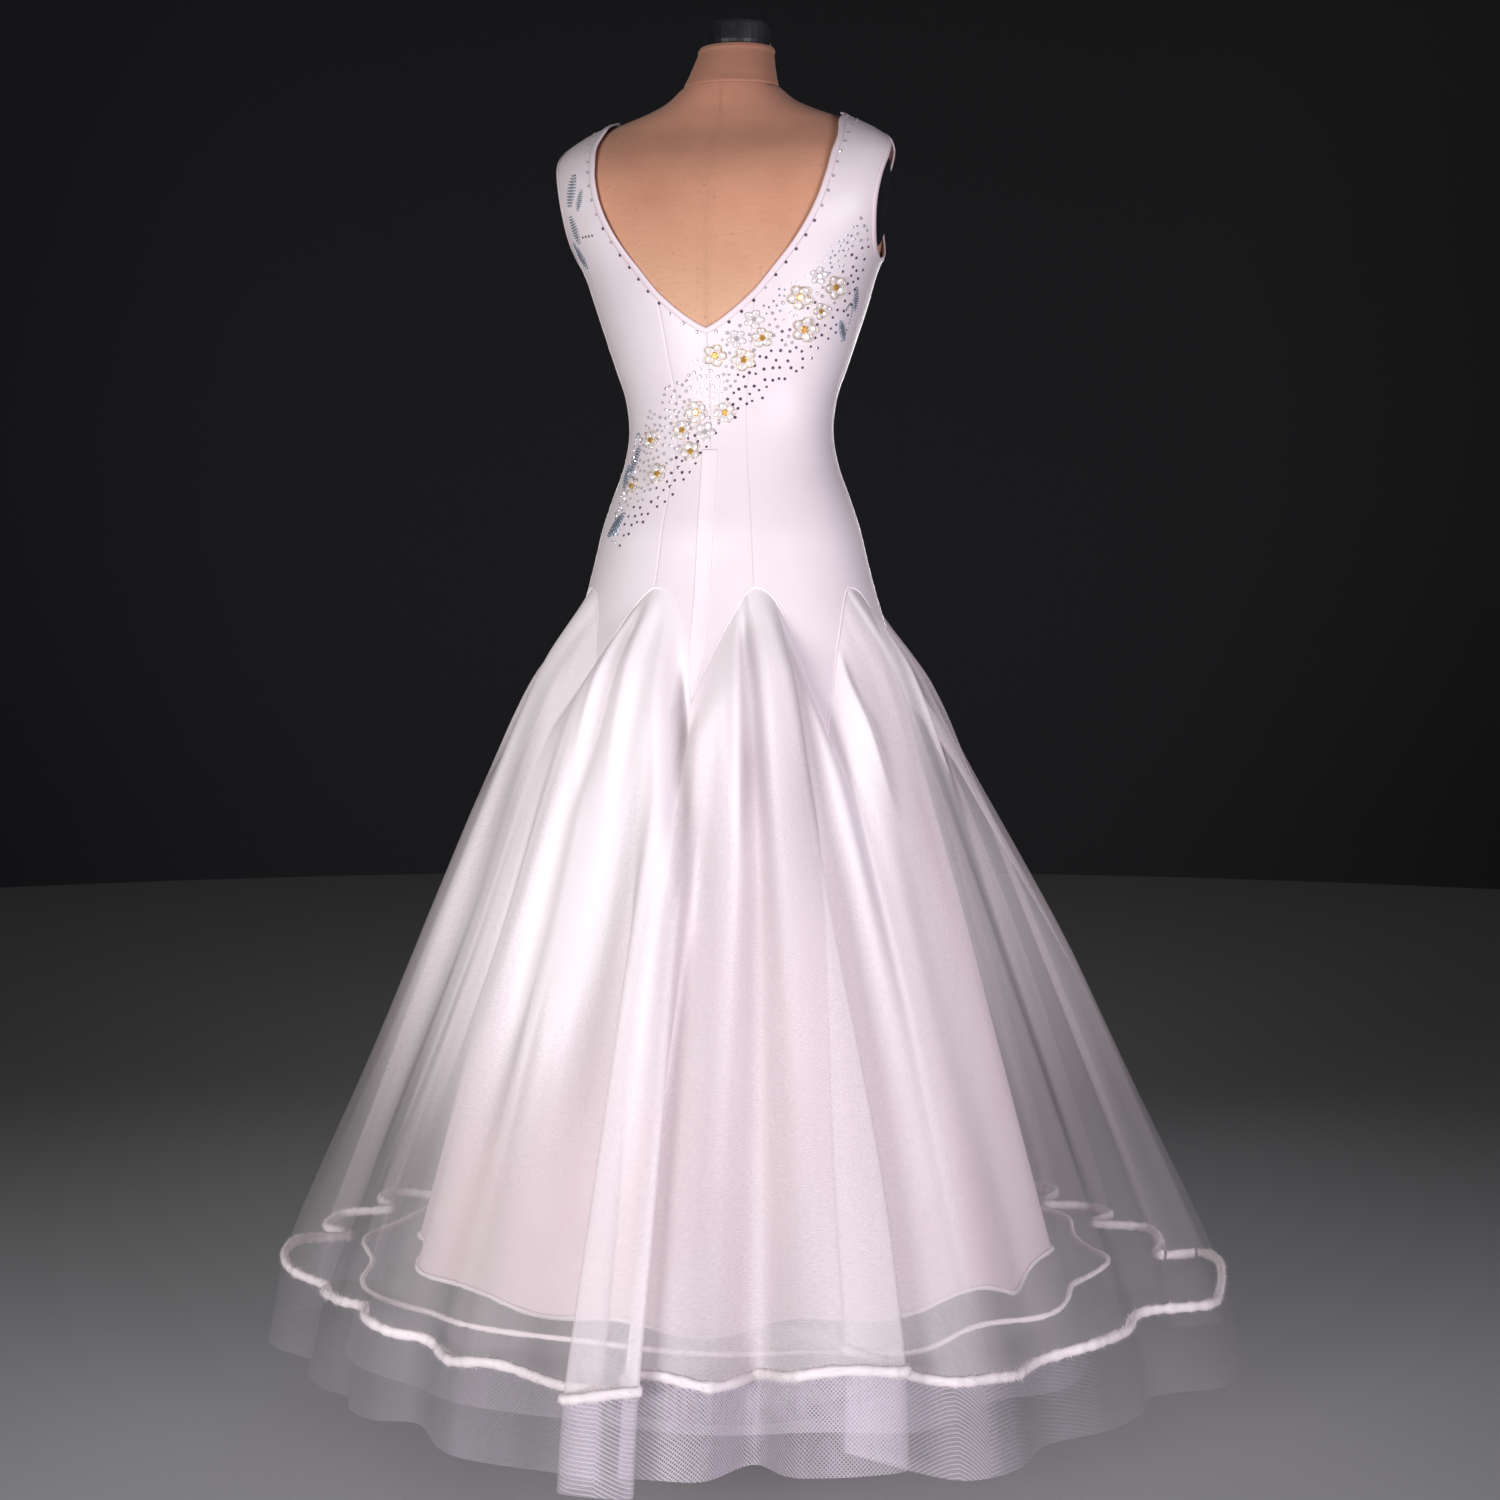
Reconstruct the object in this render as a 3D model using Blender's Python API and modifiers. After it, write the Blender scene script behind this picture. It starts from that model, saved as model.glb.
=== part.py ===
"""Ballroom dance dress worn by a limbless dress form on a stand.

Metres, +Z up. The origin is on the floor under the pole. The wearer faces -Y, so the open
back of the dress faces +Y and the wearer's right is -X. A "turn" is a fraction of a full
turn about the figure: 0 at centre back, 0.25 at the wearer's right side, 0.5 at centre front.
"""

import math
from collections import namedtuple

import bmesh
import bpy
from mathutils import Vector

COLLECTION_NAME = "ballroom_dance_dress"

# ---- walls and gaps -------------------------------------------------------------------
CLOTH_THICKNESS = 0.0011       # stretch satin, with its facing
SHEER_THICKNESS = 0.0010       # organza and horsehair braid, drawn at the thinnest wall
FORM_CLEARANCE = 0.0012        # between the form and the inside of the bodice
SHOULDER_EASE = 0.0034         # how much further the cloth stands off the shoulders
EASE_FROM = 1.275
EASE_TO = 1.340
SEAM_GAP = 0.0003
ARCH_SEAM_GAP = 0.0006         # the two sides of the arched seam lean towards each other
SKIRT_SEAM_GAP = 0.0008        # and so do the walls on the two sides of a skirt seam
LAYER_STEP = 0.0014            # from one skirt layer's top edge to the next one inside it
LEAST_SQUARENESS = 0.18        # the sharpest angle, as a sine, at which an edge is drawn back

# ---- the figure: level sections, from the hip up to the neck seam ---------------------
Section = namedtuple("Section", "height half_width back front widest_y squareness")

FIGURE = [
    Section(0.950, 0.1590, 0.1155, 0.0920, 0.000, 2.05),
    Section(0.985, 0.1505, 0.1100, 0.0920, 0.000, 2.05),
    Section(1.020, 0.1390, 0.1010, 0.0910, 0.000, 2.05),
    Section(1.060, 0.1245, 0.0915, 0.0895, 0.000, 2.05),
    Section(1.100, 0.1180, 0.0865, 0.0890, 0.000, 2.05),
    Section(1.140, 0.1225, 0.0900, 0.0960, 0.000, 2.05),
    Section(1.175, 0.1340, 0.0975, 0.1070, 0.000, 2.10),
    Section(1.211, 0.1460, 0.1060, 0.1200, 0.000, 2.10),
    Section(1.246, 0.1575, 0.1120, 0.1270, 0.000, 2.15),
    Section(1.275, 0.1665, 0.1150, 0.1200, 0.002, 2.20),
    Section(1.300, 0.1760, 0.1165, 0.1070, 0.004, 2.25),
    Section(1.330, 0.1875, 0.1165, 0.0920, 0.010, 2.30),
    Section(1.360, 0.1965, 0.1130, 0.0790, 0.016, 2.35),
    Section(1.388, 0.2010, 0.1050, 0.0670, 0.018, 2.35),
    Section(1.410, 0.1995, 0.0930, 0.0570, 0.018, 2.30),
    Section(1.426, 0.1900, 0.0800, 0.0480, 0.016, 2.25),
    Section(1.440, 0.1710, 0.0680, 0.0410, 0.013, 2.20),
    Section(1.451, 0.1500, 0.0600, 0.0370, 0.010, 2.15),
    Section(1.460, 0.1310, 0.0550, 0.0350, 0.008, 2.10),
    Section(1.471, 0.1030, 0.0500, 0.0350, 0.004, 2.05),
    Section(1.483, 0.0780, 0.0470, 0.0385, 0.002, 2.00),
    Section(1.500, 0.0580, 0.0440, 0.0430, 0.000, 2.00),
]
# The form is slimmer than the dress below the hip line, where the skirt hides it.
FORM_HIP = [
    Section(0.820, 0.1380, 0.0960, 0.0780, 0.000, 2.05),
    Section(0.870, 0.1480, 0.1050, 0.0850, 0.000, 2.05),
    Section(0.915, 0.1555, 0.1110, 0.0890, 0.000, 2.05),
]
# The petals of the dropped waist stand off the form and flare over the skirt.
YOKE_FLARE = [
    Section(0.730, 0.2290, 0.1850, 0.1600, 0.000, 2.00),
    Section(0.800, 0.2050, 0.1610, 0.1360, 0.000, 2.00),
    Section(0.840, 0.1910, 0.1470, 0.1220, 0.000, 2.00),
    Section(0.880, 0.1785, 0.1330, 0.1085, 0.000, 2.05),
    Section(0.915, 0.1680, 0.1230, 0.0985, 0.000, 2.05),
]
FORM_SHAPE = FORM_HIP + FIGURE
DRESS_SHAPE = YOKE_FLARE + FIGURE
SPACING_EVENER = 0.075         # spreads the columns evenly round an oval

# ---- the form, its neck, arm plates and stand -----------------------------------------
FORM_COLUMNS = 36
ARM_FLAT_FROM = 1.25           # above this height the arm plane cuts the form's sides
ARM_PLANE_X = 0.1690           # the arm plane's distance from the middle at ARM_PLANE_HEIGHT
ARM_PLANE_HEIGHT = 1.300
ARM_PLANE_SLOPE = 0.12         # how far the plane leans out for each metre up
ARM_PLATE = {"height": 1.362, "centre_y": 0.007, "half_height": 0.052,
             "half_depth": 0.038, "thickness": 0.005}

NeckSection = namedtuple("NeckSection", "height half_width half_depth centre_y")
NECK = [
    NeckSection(1.5003, 0.0565, 0.0430, 0.0000),
    NeckSection(1.5140, 0.0525, 0.0425, -0.0070),
    NeckSection(1.5300, 0.0482, 0.0420, -0.0160),
    NeckSection(1.5460, 0.0446, 0.0415, -0.0250),
    NeckSection(1.5520, 0.0437, 0.0410, -0.0280),
]
NECK_COLUMNS = 28
CAP_RADIUS = 0.0400
CAP_HEIGHT = 0.0290
POLE_RADIUS = 0.0155
BASE_RADIUS = 0.1800
BASE_THICKNESS = 0.0140
COLLAR_RADIUS = 0.0300
COLLAR_HEIGHT = 0.0300

# ---- the bodice -------------------------------------------------------------------------
ARCHES = 8
COLUMNS_PER_ARCH = 6
YOKE_TOP = 0.950               # above this height the panels' rows are level
YOKE_ROWS = 3
ARCH_PEAK = 0.918
ARCH_POWER_BEFORE = 1.5        # how an arch falls from its peak towards lower turns
ARCH_POWER_AFTER = 2.6         # and towards higher turns, where it is rounder
PETAL_TIPS = [0.795, 0.752, 0.785, 0.780, 0.780, 0.780, 0.785, 0.826]   # from centre back
PRINCESS_TURN = 0.5 / ARCHES   # the back seams rise from the arches beside centre back
SIDE_TURN = 0.25

# Rows up the centre back: heights at the centre back seam and at the princess seam, and how
# far the row bows down between them. The last row is the V neck's edge.
CentreRow = namedtuple("CentreRow", "seam_height princess_height bow")
CENTRE_BACK_ROWS = [
    CentreRow(0.985, 0.985, 0.0),
    CentreRow(1.020, 1.020, 0.0),
    CentreRow(1.060, 1.060, 0.0),
    CentreRow(1.100, 1.100, 0.0),
    CentreRow(1.140, 1.140, 0.0),
    CentreRow(1.175, 1.175, 0.0),
    CentreRow(1.198, 1.211, 0.2),
    CentreRow(1.211, 1.254, 0.4),
]

# A panel's edges from YOKE_TOP up: its inner and outer edge at each row. An inner value is
# the half width of the neckline there, or None on the vertical seam; an outer value is how
# far the armhole's edge stands back from the side, in turns.
EdgeRow = namedtuple("EdgeRow", "inner_height neck_half_width outer_height armhole_inset")
BACK_EDGES = [
    EdgeRow(0.985, None, 0.985, 0.0),
    EdgeRow(1.020, None, 1.020, 0.0),
    EdgeRow(1.060, None, 1.060, 0.0),
    EdgeRow(1.100, None, 1.100, 0.0),
    EdgeRow(1.140, None, 1.140, 0.0),
    EdgeRow(1.175, None, 1.175, 0.0),
    EdgeRow(1.211, None, 1.211, 0.0),
    EdgeRow(1.254, None, 1.246, 0.0),
    EdgeRow(1.271, 0.0720, 1.275, 0.0),
    EdgeRow(1.300, 0.0950, 1.297, 0.0),
    EdgeRow(1.328, 0.1130, 1.306, 0.024),
    EdgeRow(1.356, 0.1265, 1.326, 0.044),
    EdgeRow(1.384, 0.1350, 1.354, 0.056),
    EdgeRow(1.410, 0.1395, 1.384, 0.055),
    EdgeRow(1.434, 0.1405, 1.408, 0.040),
    EdgeRow(1.449, 0.1375, 1.423, 0.018),
]
FRONT_EDGES = [
    EdgeRow(0.985, None, 0.985, 0.0),
    EdgeRow(1.020, None, 1.020, 0.0),
    EdgeRow(1.060, None, 1.060, 0.0),
    EdgeRow(1.100, None, 1.100, 0.0),
    EdgeRow(1.140, None, 1.140, 0.0),
    EdgeRow(1.175, None, 1.175, 0.0),
    EdgeRow(1.211, None, 1.211, 0.0),
    EdgeRow(1.246, None, 1.246, 0.0),
    EdgeRow(1.275, None, 1.275, 0.0),
    EdgeRow(1.305, None, 1.297, 0.0),
    EdgeRow(1.335, None, 1.306, 0.034),
    EdgeRow(1.364, None, 1.326, 0.066),
    EdgeRow(1.390, None, 1.354, 0.084),
    EdgeRow(1.400, 0.0560, 1.384, 0.082),
    EdgeRow(1.422, 0.0960, 1.408, 0.060),
    EdgeRow(1.444, 0.1250, 1.423, 0.030),
    EdgeRow(1.453, 0.1300, 1.427, 0.014),
]
SHOULDER_NECK_HEIGHT = 1.4600  # the shoulder seam's inner end
SHOULDER_TIP_HEIGHT = 1.4300   # and its outer end

# ---- the skirt --------------------------------------------------------------------------
COLUMNS_PER_GORE = 2 * COLUMNS_PER_ARCH
MEAN_HEM_RADIUS = 0.524
HEM_HEIGHT = 0.050
BAND_WIDTH = 0.088             # horsehair braid round the outer hem
GORE_ROWS = [0.0, 0.05, 0.12, 0.21, 0.33, 0.48, 0.65, 0.83, 1.0]   # of the way to the braid
BAND_ROWS = [0.0, 0.5, 1.0]                                       # of the way down the braid
FOLD_ONSET = 0.45              # the folds reach their full depth this far down
OVERLAP_FROM = 0.15            # and lie over one another between these two
OVERLAP_TO = 0.75
FOLD_WINDOW = 4                # columns on each side that an average over the folds takes in

# How far out the skirt has spread at each fraction of its drop.
Spread = namedtuple("Spread", "drop spread")
SKIRT_SPREAD = [
    Spread(0.00, 0.000), Spread(0.05, 0.092), Spread(0.10, 0.170), Spread(0.21, 0.284),
    Spread(0.42, 0.482), Spread(0.63, 0.684), Spread(0.80, 0.856), Spread(0.90, 0.949),
    Spread(1.00, 1.000),
]

# A row for each fold at the hem: its face runs from left to right, in degrees from centre
# back, at a radius, and the cloth turns in behind it at the tuck. A tuck that lies before
# its fold's right edge is overlapped by it.
Fold = namedtuple("Fold", "left right radius tuck tuck_radius lift")
BACK_RIGHT_FOLDS = [
    Fold(6.5, 12.0, 0.523, 17.5, 0.472, 0.006),
    Fold(21.5, 33.0, 0.556, 28.0, 0.490, 0.020),
    Fold(39.0, 46.0, 0.547, 54.0, 0.508, 0.000),
]
SIDE_RIGHT_FOLDS = [
    Fold(62.0, 69.0, 0.530, 76.0, 0.516, 0.004),
    Fold(85.0, 108.5, 0.578, 107.5, 0.522, 0.002),
]
SIDE_LEFT_FOLDS = [
    Fold(277.0, 291.0, 0.530, 299.0, 0.486, 0.004),
    Fold(305.0, 312.0, 0.496, 317.0, 0.483, 0.006),
]
BACK_LEFT_FOLDS = [
    Fold(322.0, 327.0, 0.500, 332.0, 0.473, 0.006),
    Fold(339.0, 355.0, 0.493, 360.6, 0.508, -0.006),
    Fold(357.6, 365.4, 0.559, 362.4, 0.508, 0.000),
]
FRONT_FOLDS_FROM = 118.0
FRONT_FOLD_PITCH = 13.0
FRONT_FOLD_FACE = 5.5
FRONT_FOLD_TUCK = 9.3
FRONT_FOLD_RADII = [0.549, 0.536, 0.543]
FRONT_TUCK_RADIUS = 0.492
FRONT_GORES = 4

# The two layers inside, which hang in even waves.
Layer = namedtuple("Layer", "steps_in lower hem_radius wave hem_height rows")
INNER_LAYER = Layer(1, 0.0008, 0.424, 0.013, 0.150, [0.0, 0.07, 0.18, 0.34, 0.54, 0.77, 1.0])
LINING = Layer(2, 0.0016, 0.362, 0.008, 0.160, [0.0, 0.10, 0.28, 0.50, 0.75, 1.0])
LAYER_WAVES = 12
INNER_BAND_WIDTH = 0.075
INNER_BAND_FLARE = 0.020       # how much wider the inner hem is than its braid's top edge
QUARTERS = 4

# ---- colours: base colour, roughness, metallic -------------------------------------------
SATIN = ("satin", (0.90, 0.83, 0.86, 1.0), 0.42, 0.0)
SHEER = ("organza", (0.92, 0.86, 0.89, 1.0), 0.60, 0.0)
BRAID = ("horsehair_braid", (0.86, 0.82, 0.88, 1.0), 0.45, 0.0)
LINING_CLOTH = ("lining_cloth", (0.84, 0.72, 0.75, 1.0), 0.55, 0.0)
LINEN = ("form_linen", (0.62, 0.42, 0.30, 1.0), 0.85, 0.0)
BLACK_PLASTIC = ("black_plastic", (0.012, 0.012, 0.016, 1.0), 0.28, 0.0)
BLACK_STEEL = ("black_steel", (0.020, 0.020, 0.022, 1.0), 0.35, 1.0)


# ---- scene and materials ------------------------------------------------------------------
def clear_scene():
    for item in list(bpy.data.objects):
        bpy.data.objects.remove(item, do_unlink=True)


def finish(name, obj, recipe):
    """Name an object, give it its own material and put it in the dress's collection."""
    label, colour, roughness, metallic = recipe
    material = bpy.data.materials.new(f"{label}_{name}")
    material.use_nodes = True
    shader = material.node_tree.nodes["Principled BSDF"]
    shader.inputs["Base Color"].default_value = colour
    shader.inputs["Roughness"].default_value = roughness
    shader.inputs["Metallic"].default_value = metallic
    material.diffuse_color = colour
    obj.data.materials.clear()
    obj.data.materials.append(material)
    obj.name = name
    obj.data.name = name
    for collection in list(obj.users_collection):
        collection.objects.unlink(obj)
    bpy.data.collections[COLLECTION_NAME].objects.link(obj)
    return obj


def mesh_object(name, mesh, recipe):
    obj = bpy.data.objects.new(name, mesh)
    bpy.context.scene.collection.objects.link(obj)
    return finish(name, obj, recipe)


# ---- reading the tables --------------------------------------------------------------------
def smooth_value(xs, ys, x):
    """A smooth curve through the points of a table, read at x."""
    if x <= xs[0]:
        return ys[0]
    if x >= xs[-1]:
        return ys[-1]
    i = next(k for k in range(len(xs) - 1) if x <= xs[k + 1])

    def slope(k):
        if k == 0:
            return (ys[1] - ys[0]) / (xs[1] - xs[0])
        if k == len(xs) - 1:
            return (ys[-1] - ys[-2]) / (xs[-1] - xs[-2])
        return (ys[k + 1] - ys[k - 1]) / (xs[k + 1] - xs[k - 1])

    step = xs[i + 1] - xs[i]
    t = (x - xs[i]) / step
    near = (1 + 2 * t) * (1 - t) ** 2 * ys[i] + t * (1 - t) ** 2 * step * slope(i)
    far = t * t * (3 - 2 * t) * ys[i + 1] - t * t * (1 - t) * step * slope(i + 1)
    return near + far


def smooth_step(value):
    value = max(0.0, min(1.0, value))
    return value * value * (3 - 2 * value)


def section_at(shape, height):
    heights = [row.height for row in shape]
    values = [smooth_value(heights, [row[k] for row in shape], height)
              for k in range(1, len(Section._fields))]
    return Section(height, *values)


def signed_power(value, power):
    return math.copysign(abs(value) ** power, value)


def surface_point(shape, turn, height):
    """The point on a shape at a turn and a height."""
    row = section_at(shape, height)
    angle = 2 * math.pi * turn - SPACING_EVENER * math.sin(4 * math.pi * turn)
    power = 2 / row.squareness
    x = -row.half_width * signed_power(math.sin(angle), power)
    along = signed_power(math.cos(angle), power)
    depth = row.back - row.widest_y if along > 0 else row.front + row.widest_y
    return Vector((x, row.widest_y + depth * along, height))


def turn_at(shape, height, half_width):
    """The turn, on the back half, where a shape is half_width from its middle."""
    row = section_at(shape, height)
    ratio = min(half_width / row.half_width, 1.0)
    angle = math.asin(ratio ** (row.squareness / 2))
    turn = angle / (2 * math.pi)
    for _ in range(12):
        turn = (angle + SPACING_EVENER * math.sin(4 * math.pi * turn)) / (2 * math.pi)
    return turn


def cloth_point(turn, height):
    """A point on the inside of the fitted cloth: the dress's shape, moved out."""
    step = 0.001
    across = surface_point(DRESS_SHAPE, turn + step, height)
    across -= surface_point(DRESS_SHAPE, turn - step, height)
    up = surface_point(DRESS_SHAPE, turn, height + step)
    up -= surface_point(DRESS_SHAPE, turn, height - step)
    outward = across.cross(up).normalized()
    ease = SHOULDER_EASE * smooth_step((height - EASE_FROM) / (EASE_TO - EASE_FROM))
    return surface_point(DRESS_SHAPE, turn, height) + (FORM_CLEARANCE + ease) * outward


# ---- open sheets and their walls ---------------------------------------------------------
def draw_back_row(grid, index, distance):
    """Draw a top or bottom edge back along the columns, until it has moved in by distance."""
    edge = grid[index]
    inside = grid[1] if index == 0 else grid[-2]
    last = len(edge) - 1
    moved = []
    for k, (point, inner) in enumerate(zip(edge, inside)):
        tangent = (edge[min(k + 1, last)] - edge[max(k - 1, 0)]).normalized()
        inward = (inner - point).normalized()
        squareness = max(tangent.cross(inward).length, LEAST_SQUARENESS)
        moved.append(point + inward * distance / squareness)
    grid[index] = moved


def draw_back_column(grid, index, distance):
    """Draw a side edge back, square to itself."""
    edge = [row[index] for row in grid]
    inside = [row[1] if index == 0 else row[-2] for row in grid]
    last = len(edge) - 1
    for k, (point, inner) in enumerate(zip(edge, inside)):
        tangent = (edge[min(k + 1, last)] - edge[max(k - 1, 0)]).normalized()
        inward = inner - point
        square = inward - tangent * inward.dot(tangent)
        grid[k][index] = point + square.normalized() * distance


def sheet(name, grid, recipe, thickness, closed=False, mirrored=False, offset=1.0):
    """A wall from a grid of points, whose rows go up and whose columns go to higher turns.

    The wall lies outside the grid with an offset of 1, and inside it with -1.
    """
    shape = bmesh.new()
    verts = [[shape.verts.new(point) for point in row] for row in grid]
    columns = len(grid[0])
    for low, high in zip(verts, verts[1:]):
        for k in range(columns if closed else columns - 1):
            n = (k + 1) % columns
            shape.faces.new((low[k], low[n], high[n], high[k]))
    mesh = bpy.data.meshes.new(name)
    shape.to_mesh(mesh)
    shape.free()
    mesh.shade_smooth()
    obj = mesh_object(name, mesh, recipe)
    if mirrored:
        mirror = obj.modifiers.new("other half", "MIRROR")
        mirror.merge_threshold = 0.00005
    wall = obj.modifiers.new("wall", "SOLIDIFY")
    wall.thickness = thickness
    wall.offset = offset
    return obj


def loft(name, rings, recipe):
    """A closed solid through level rings of points, from the lowest up."""
    shape = bmesh.new()
    verts = [[shape.verts.new(point) for point in ring] for ring in rings]
    count = len(rings[0])
    for low, high in zip(verts, verts[1:]):
        for k in range(count):
            n = (k + 1) % count
            shape.faces.new((low[k], low[n], high[n], high[k]))
    shape.faces.new(list(reversed(verts[0])))
    shape.faces.new(verts[-1])
    mesh = bpy.data.meshes.new(name)
    shape.to_mesh(mesh)
    shape.free()
    mesh.shade_smooth()
    mesh.set_sharp_from_angle(angle=math.radians(50))
    return mesh_object(name, mesh, recipe)


# ---- dress form and stand -----------------------------------------------------------------
def arm_plane(height):
    return ARM_PLANE_X + ARM_PLANE_SLOPE * (height - ARM_PLANE_HEIGHT)


def build_form():
    rings = []
    for row in FORM_SHAPE:
        ring = []
        for k in range(FORM_COLUMNS):
            point = surface_point(FORM_SHAPE, k / FORM_COLUMNS, row.height)
            if row.height > ARM_FLAT_FROM:
                reach = arm_plane(row.height)
                point.x = max(-reach, min(reach, point.x))
            ring.append(point)
        rings.append(ring)
    loft("form_torso", rings, LINEN)


def build_neck():
    rings = []
    for row in NECK:
        ring = []
        for k in range(NECK_COLUMNS):
            angle = 2 * math.pi * k / NECK_COLUMNS
            x = -row.half_width * math.sin(angle)
            y = row.centre_y + row.half_depth * math.cos(angle)
            ring.append(Vector((x, y, row.height)))
        rings.append(ring)
    loft("form_neck", rings, LINEN)


def add_cylinder(name, radius, low, high, recipe, centre_y=0.0, rounding=0.0, sides=32):
    """An upright cylinder, with its edges rounded."""
    bpy.ops.mesh.primitive_cylinder_add(
        vertices=sides, radius=radius, depth=high - low, location=(0, centre_y, (low + high) / 2))
    obj = bpy.context.object
    obj.data.shade_smooth()
    obj.data.set_sharp_from_angle(angle=math.radians(50))
    if rounding:
        bevel = obj.modifiers.new("rounded edges", "BEVEL")
        bevel.width = rounding
        bevel.segments = 2
        bevel.limit_method = "ANGLE"
    return finish(name, obj, recipe)


def build_cap_and_stand():
    neck_top = NECK[-1]
    cap_low = neck_top.height + SEAM_GAP
    add_cylinder("neck_cap", CAP_RADIUS, cap_low, cap_low + CAP_HEIGHT, BLACK_PLASTIC,
                 centre_y=neck_top.centre_y, rounding=0.005, sides=28)
    add_cylinder("stand_base", BASE_RADIUS, 0.0, BASE_THICKNESS, BLACK_STEEL,
                 rounding=0.004, sides=48)
    collar_low = BASE_THICKNESS + SEAM_GAP
    collar_high = collar_low + COLLAR_HEIGHT
    add_cylinder("stand_collar", COLLAR_RADIUS, collar_low, collar_high, BLACK_STEEL,
                 rounding=0.003, sides=24)
    pole_top = FORM_HIP[0].height - SEAM_GAP
    add_cylinder("stand_pole", POLE_RADIUS, collar_high + SEAM_GAP, pole_top, BLACK_STEEL,
                 sides=20)


def build_arm_plate(name, side):
    """An oval disc that lies on the flat where the form's arm would be."""
    lean = math.atan(ARM_PLANE_SLOPE)
    out = SEAM_GAP + ARM_PLATE["thickness"] / 2
    centre = Vector((side * (arm_plane(ARM_PLATE["height"]) + out), ARM_PLATE["centre_y"],
                     ARM_PLATE["height"]))
    bpy.ops.mesh.primitive_cylinder_add(vertices=28, radius=1.0, depth=1.0)
    obj = bpy.context.object
    obj.scale = (ARM_PLATE["half_height"], ARM_PLATE["half_depth"], ARM_PLATE["thickness"])
    bpy.ops.object.transform_apply(location=False, rotation=False, scale=True)
    obj.rotation_euler = (0.0, side * (math.pi / 2 + lean), 0.0)
    obj.location = centre
    bevel = obj.modifiers.new("rounded edges", "BEVEL")
    bevel.width = 0.0012
    bevel.segments = 1
    bevel.limit_method = "ANGLE"
    obj.data.shade_smooth()
    obj.data.set_sharp_from_angle(angle=math.radians(50))
    finish(name, obj, BLACK_PLASTIC)


# ---- bodice ---------------------------------------------------------------------------------
def arch_height(turn):
    """The height of the yoke's lower edge at a turn."""
    place = (turn % 1.0) * ARCHES
    tip = PETAL_TIPS[round(place) % ARCHES]
    from_peak = (place - math.floor(place) - 0.5) * 2
    if 0.5 < turn % 1.0 < 1 - SIDE_TURN:
        from_peak = -from_peak         # the front's two halves mirror each other
    power = ARCH_POWER_AFTER if from_peak > 0 else ARCH_POWER_BEFORE
    return ARCH_PEAK - (ARCH_PEAK - tip) * abs(from_peak) ** power


def yoke_rows(turns):
    """The arched lower edge and the rows above it, up to the level row at YOKE_TOP."""
    rows = []
    for k in range(YOKE_ROWS + 1):
        rows.append([(turn, arch_height(turn) + (YOKE_TOP - arch_height(turn)) * k / YOKE_ROWS)
                     for turn in turns])
    return rows


def between(start, end, share):
    return tuple(a + (b - a) * share for a, b in zip(start, end))


def cloth_grid(rows):
    return [[cloth_point(turn, height) for turn, height in row] for row in rows]


def build_centre_back(name, side):
    """One side of the centre back, from its seam out to the princess seam."""
    columns = round(PRINCESS_TURN * ARCHES * COLUMNS_PER_ARCH)
    shares = [k / columns for k in range(columns + 1)]
    rows = yoke_rows([side * PRINCESS_TURN * share for share in shares])
    for row in CENTRE_BACK_ROWS:
        rise = row.princess_height - row.seam_height
        rows.append([(side * PRINCESS_TURN * share,
                      row.seam_height + rise * (share - row.bow * share * (1 - share)))
                     for share in shares])
    if side < 0:
        rows = [list(reversed(row)) for row in rows]
    grid = cloth_grid(rows)
    draw_back_row(grid, 0, ARCH_SEAM_GAP / 2)
    draw_back_column(grid, 0, SEAM_GAP / 2)
    draw_back_column(grid, -1, SEAM_GAP / 2)
    sheet(name, grid, SATIN, CLOTH_THICKNESS)


def panel_rows(edges, inner_turn, columns):
    """Rows of a panel on the wearer's right, from its inner edge out to the side."""
    forward = inner_turn > SIDE_TURN
    shares = [k / columns for k in range(columns + 1)]
    rows = yoke_rows([inner_turn + (SIDE_TURN - inner_turn) * share for share in shares])
    for edge in edges:
        inner = inner_turn
        if edge.neck_half_width is not None:
            inner = turn_at(DRESS_SHAPE, edge.inner_height, edge.neck_half_width)
            inner = 0.5 - inner if forward else inner
        inset = edge.armhole_inset if forward else -edge.armhole_inset
        start = (inner, edge.inner_height)
        end = (SIDE_TURN + inset, edge.outer_height)
        rows.append([between(start, end, share) for share in shares])
    neck_end = (SIDE_TURN, SHOULDER_NECK_HEIGHT)
    tip_end = (SIDE_TURN, SHOULDER_TIP_HEIGHT)
    rows.append([between(neck_end, tip_end, share) for share in shares])
    return rows


def build_side_back(name, side):
    """The back panel from the princess seam to the side, with its shoulder strap."""
    columns = round((SIDE_TURN - PRINCESS_TURN) * ARCHES * COLUMNS_PER_ARCH)
    rows = panel_rows(BACK_EDGES, PRINCESS_TURN, columns)
    if side < 0:
        rows = yoke_rows([-turn for turn, _ in rows[0]]) + [
            [(-turn, height) for turn, height in row] for row in rows[YOKE_ROWS + 1:]]
        rows = [list(reversed(row)) for row in rows]
    grid = cloth_grid(rows)
    draw_back_row(grid, 0, ARCH_SEAM_GAP / 2)
    draw_back_row(grid, -1, SEAM_GAP)
    draw_back_column(grid, 0, SEAM_GAP / 2)
    draw_back_column(grid, -1, SEAM_GAP / 2)
    sheet(name, grid, SATIN, CLOTH_THICKNESS)


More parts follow.
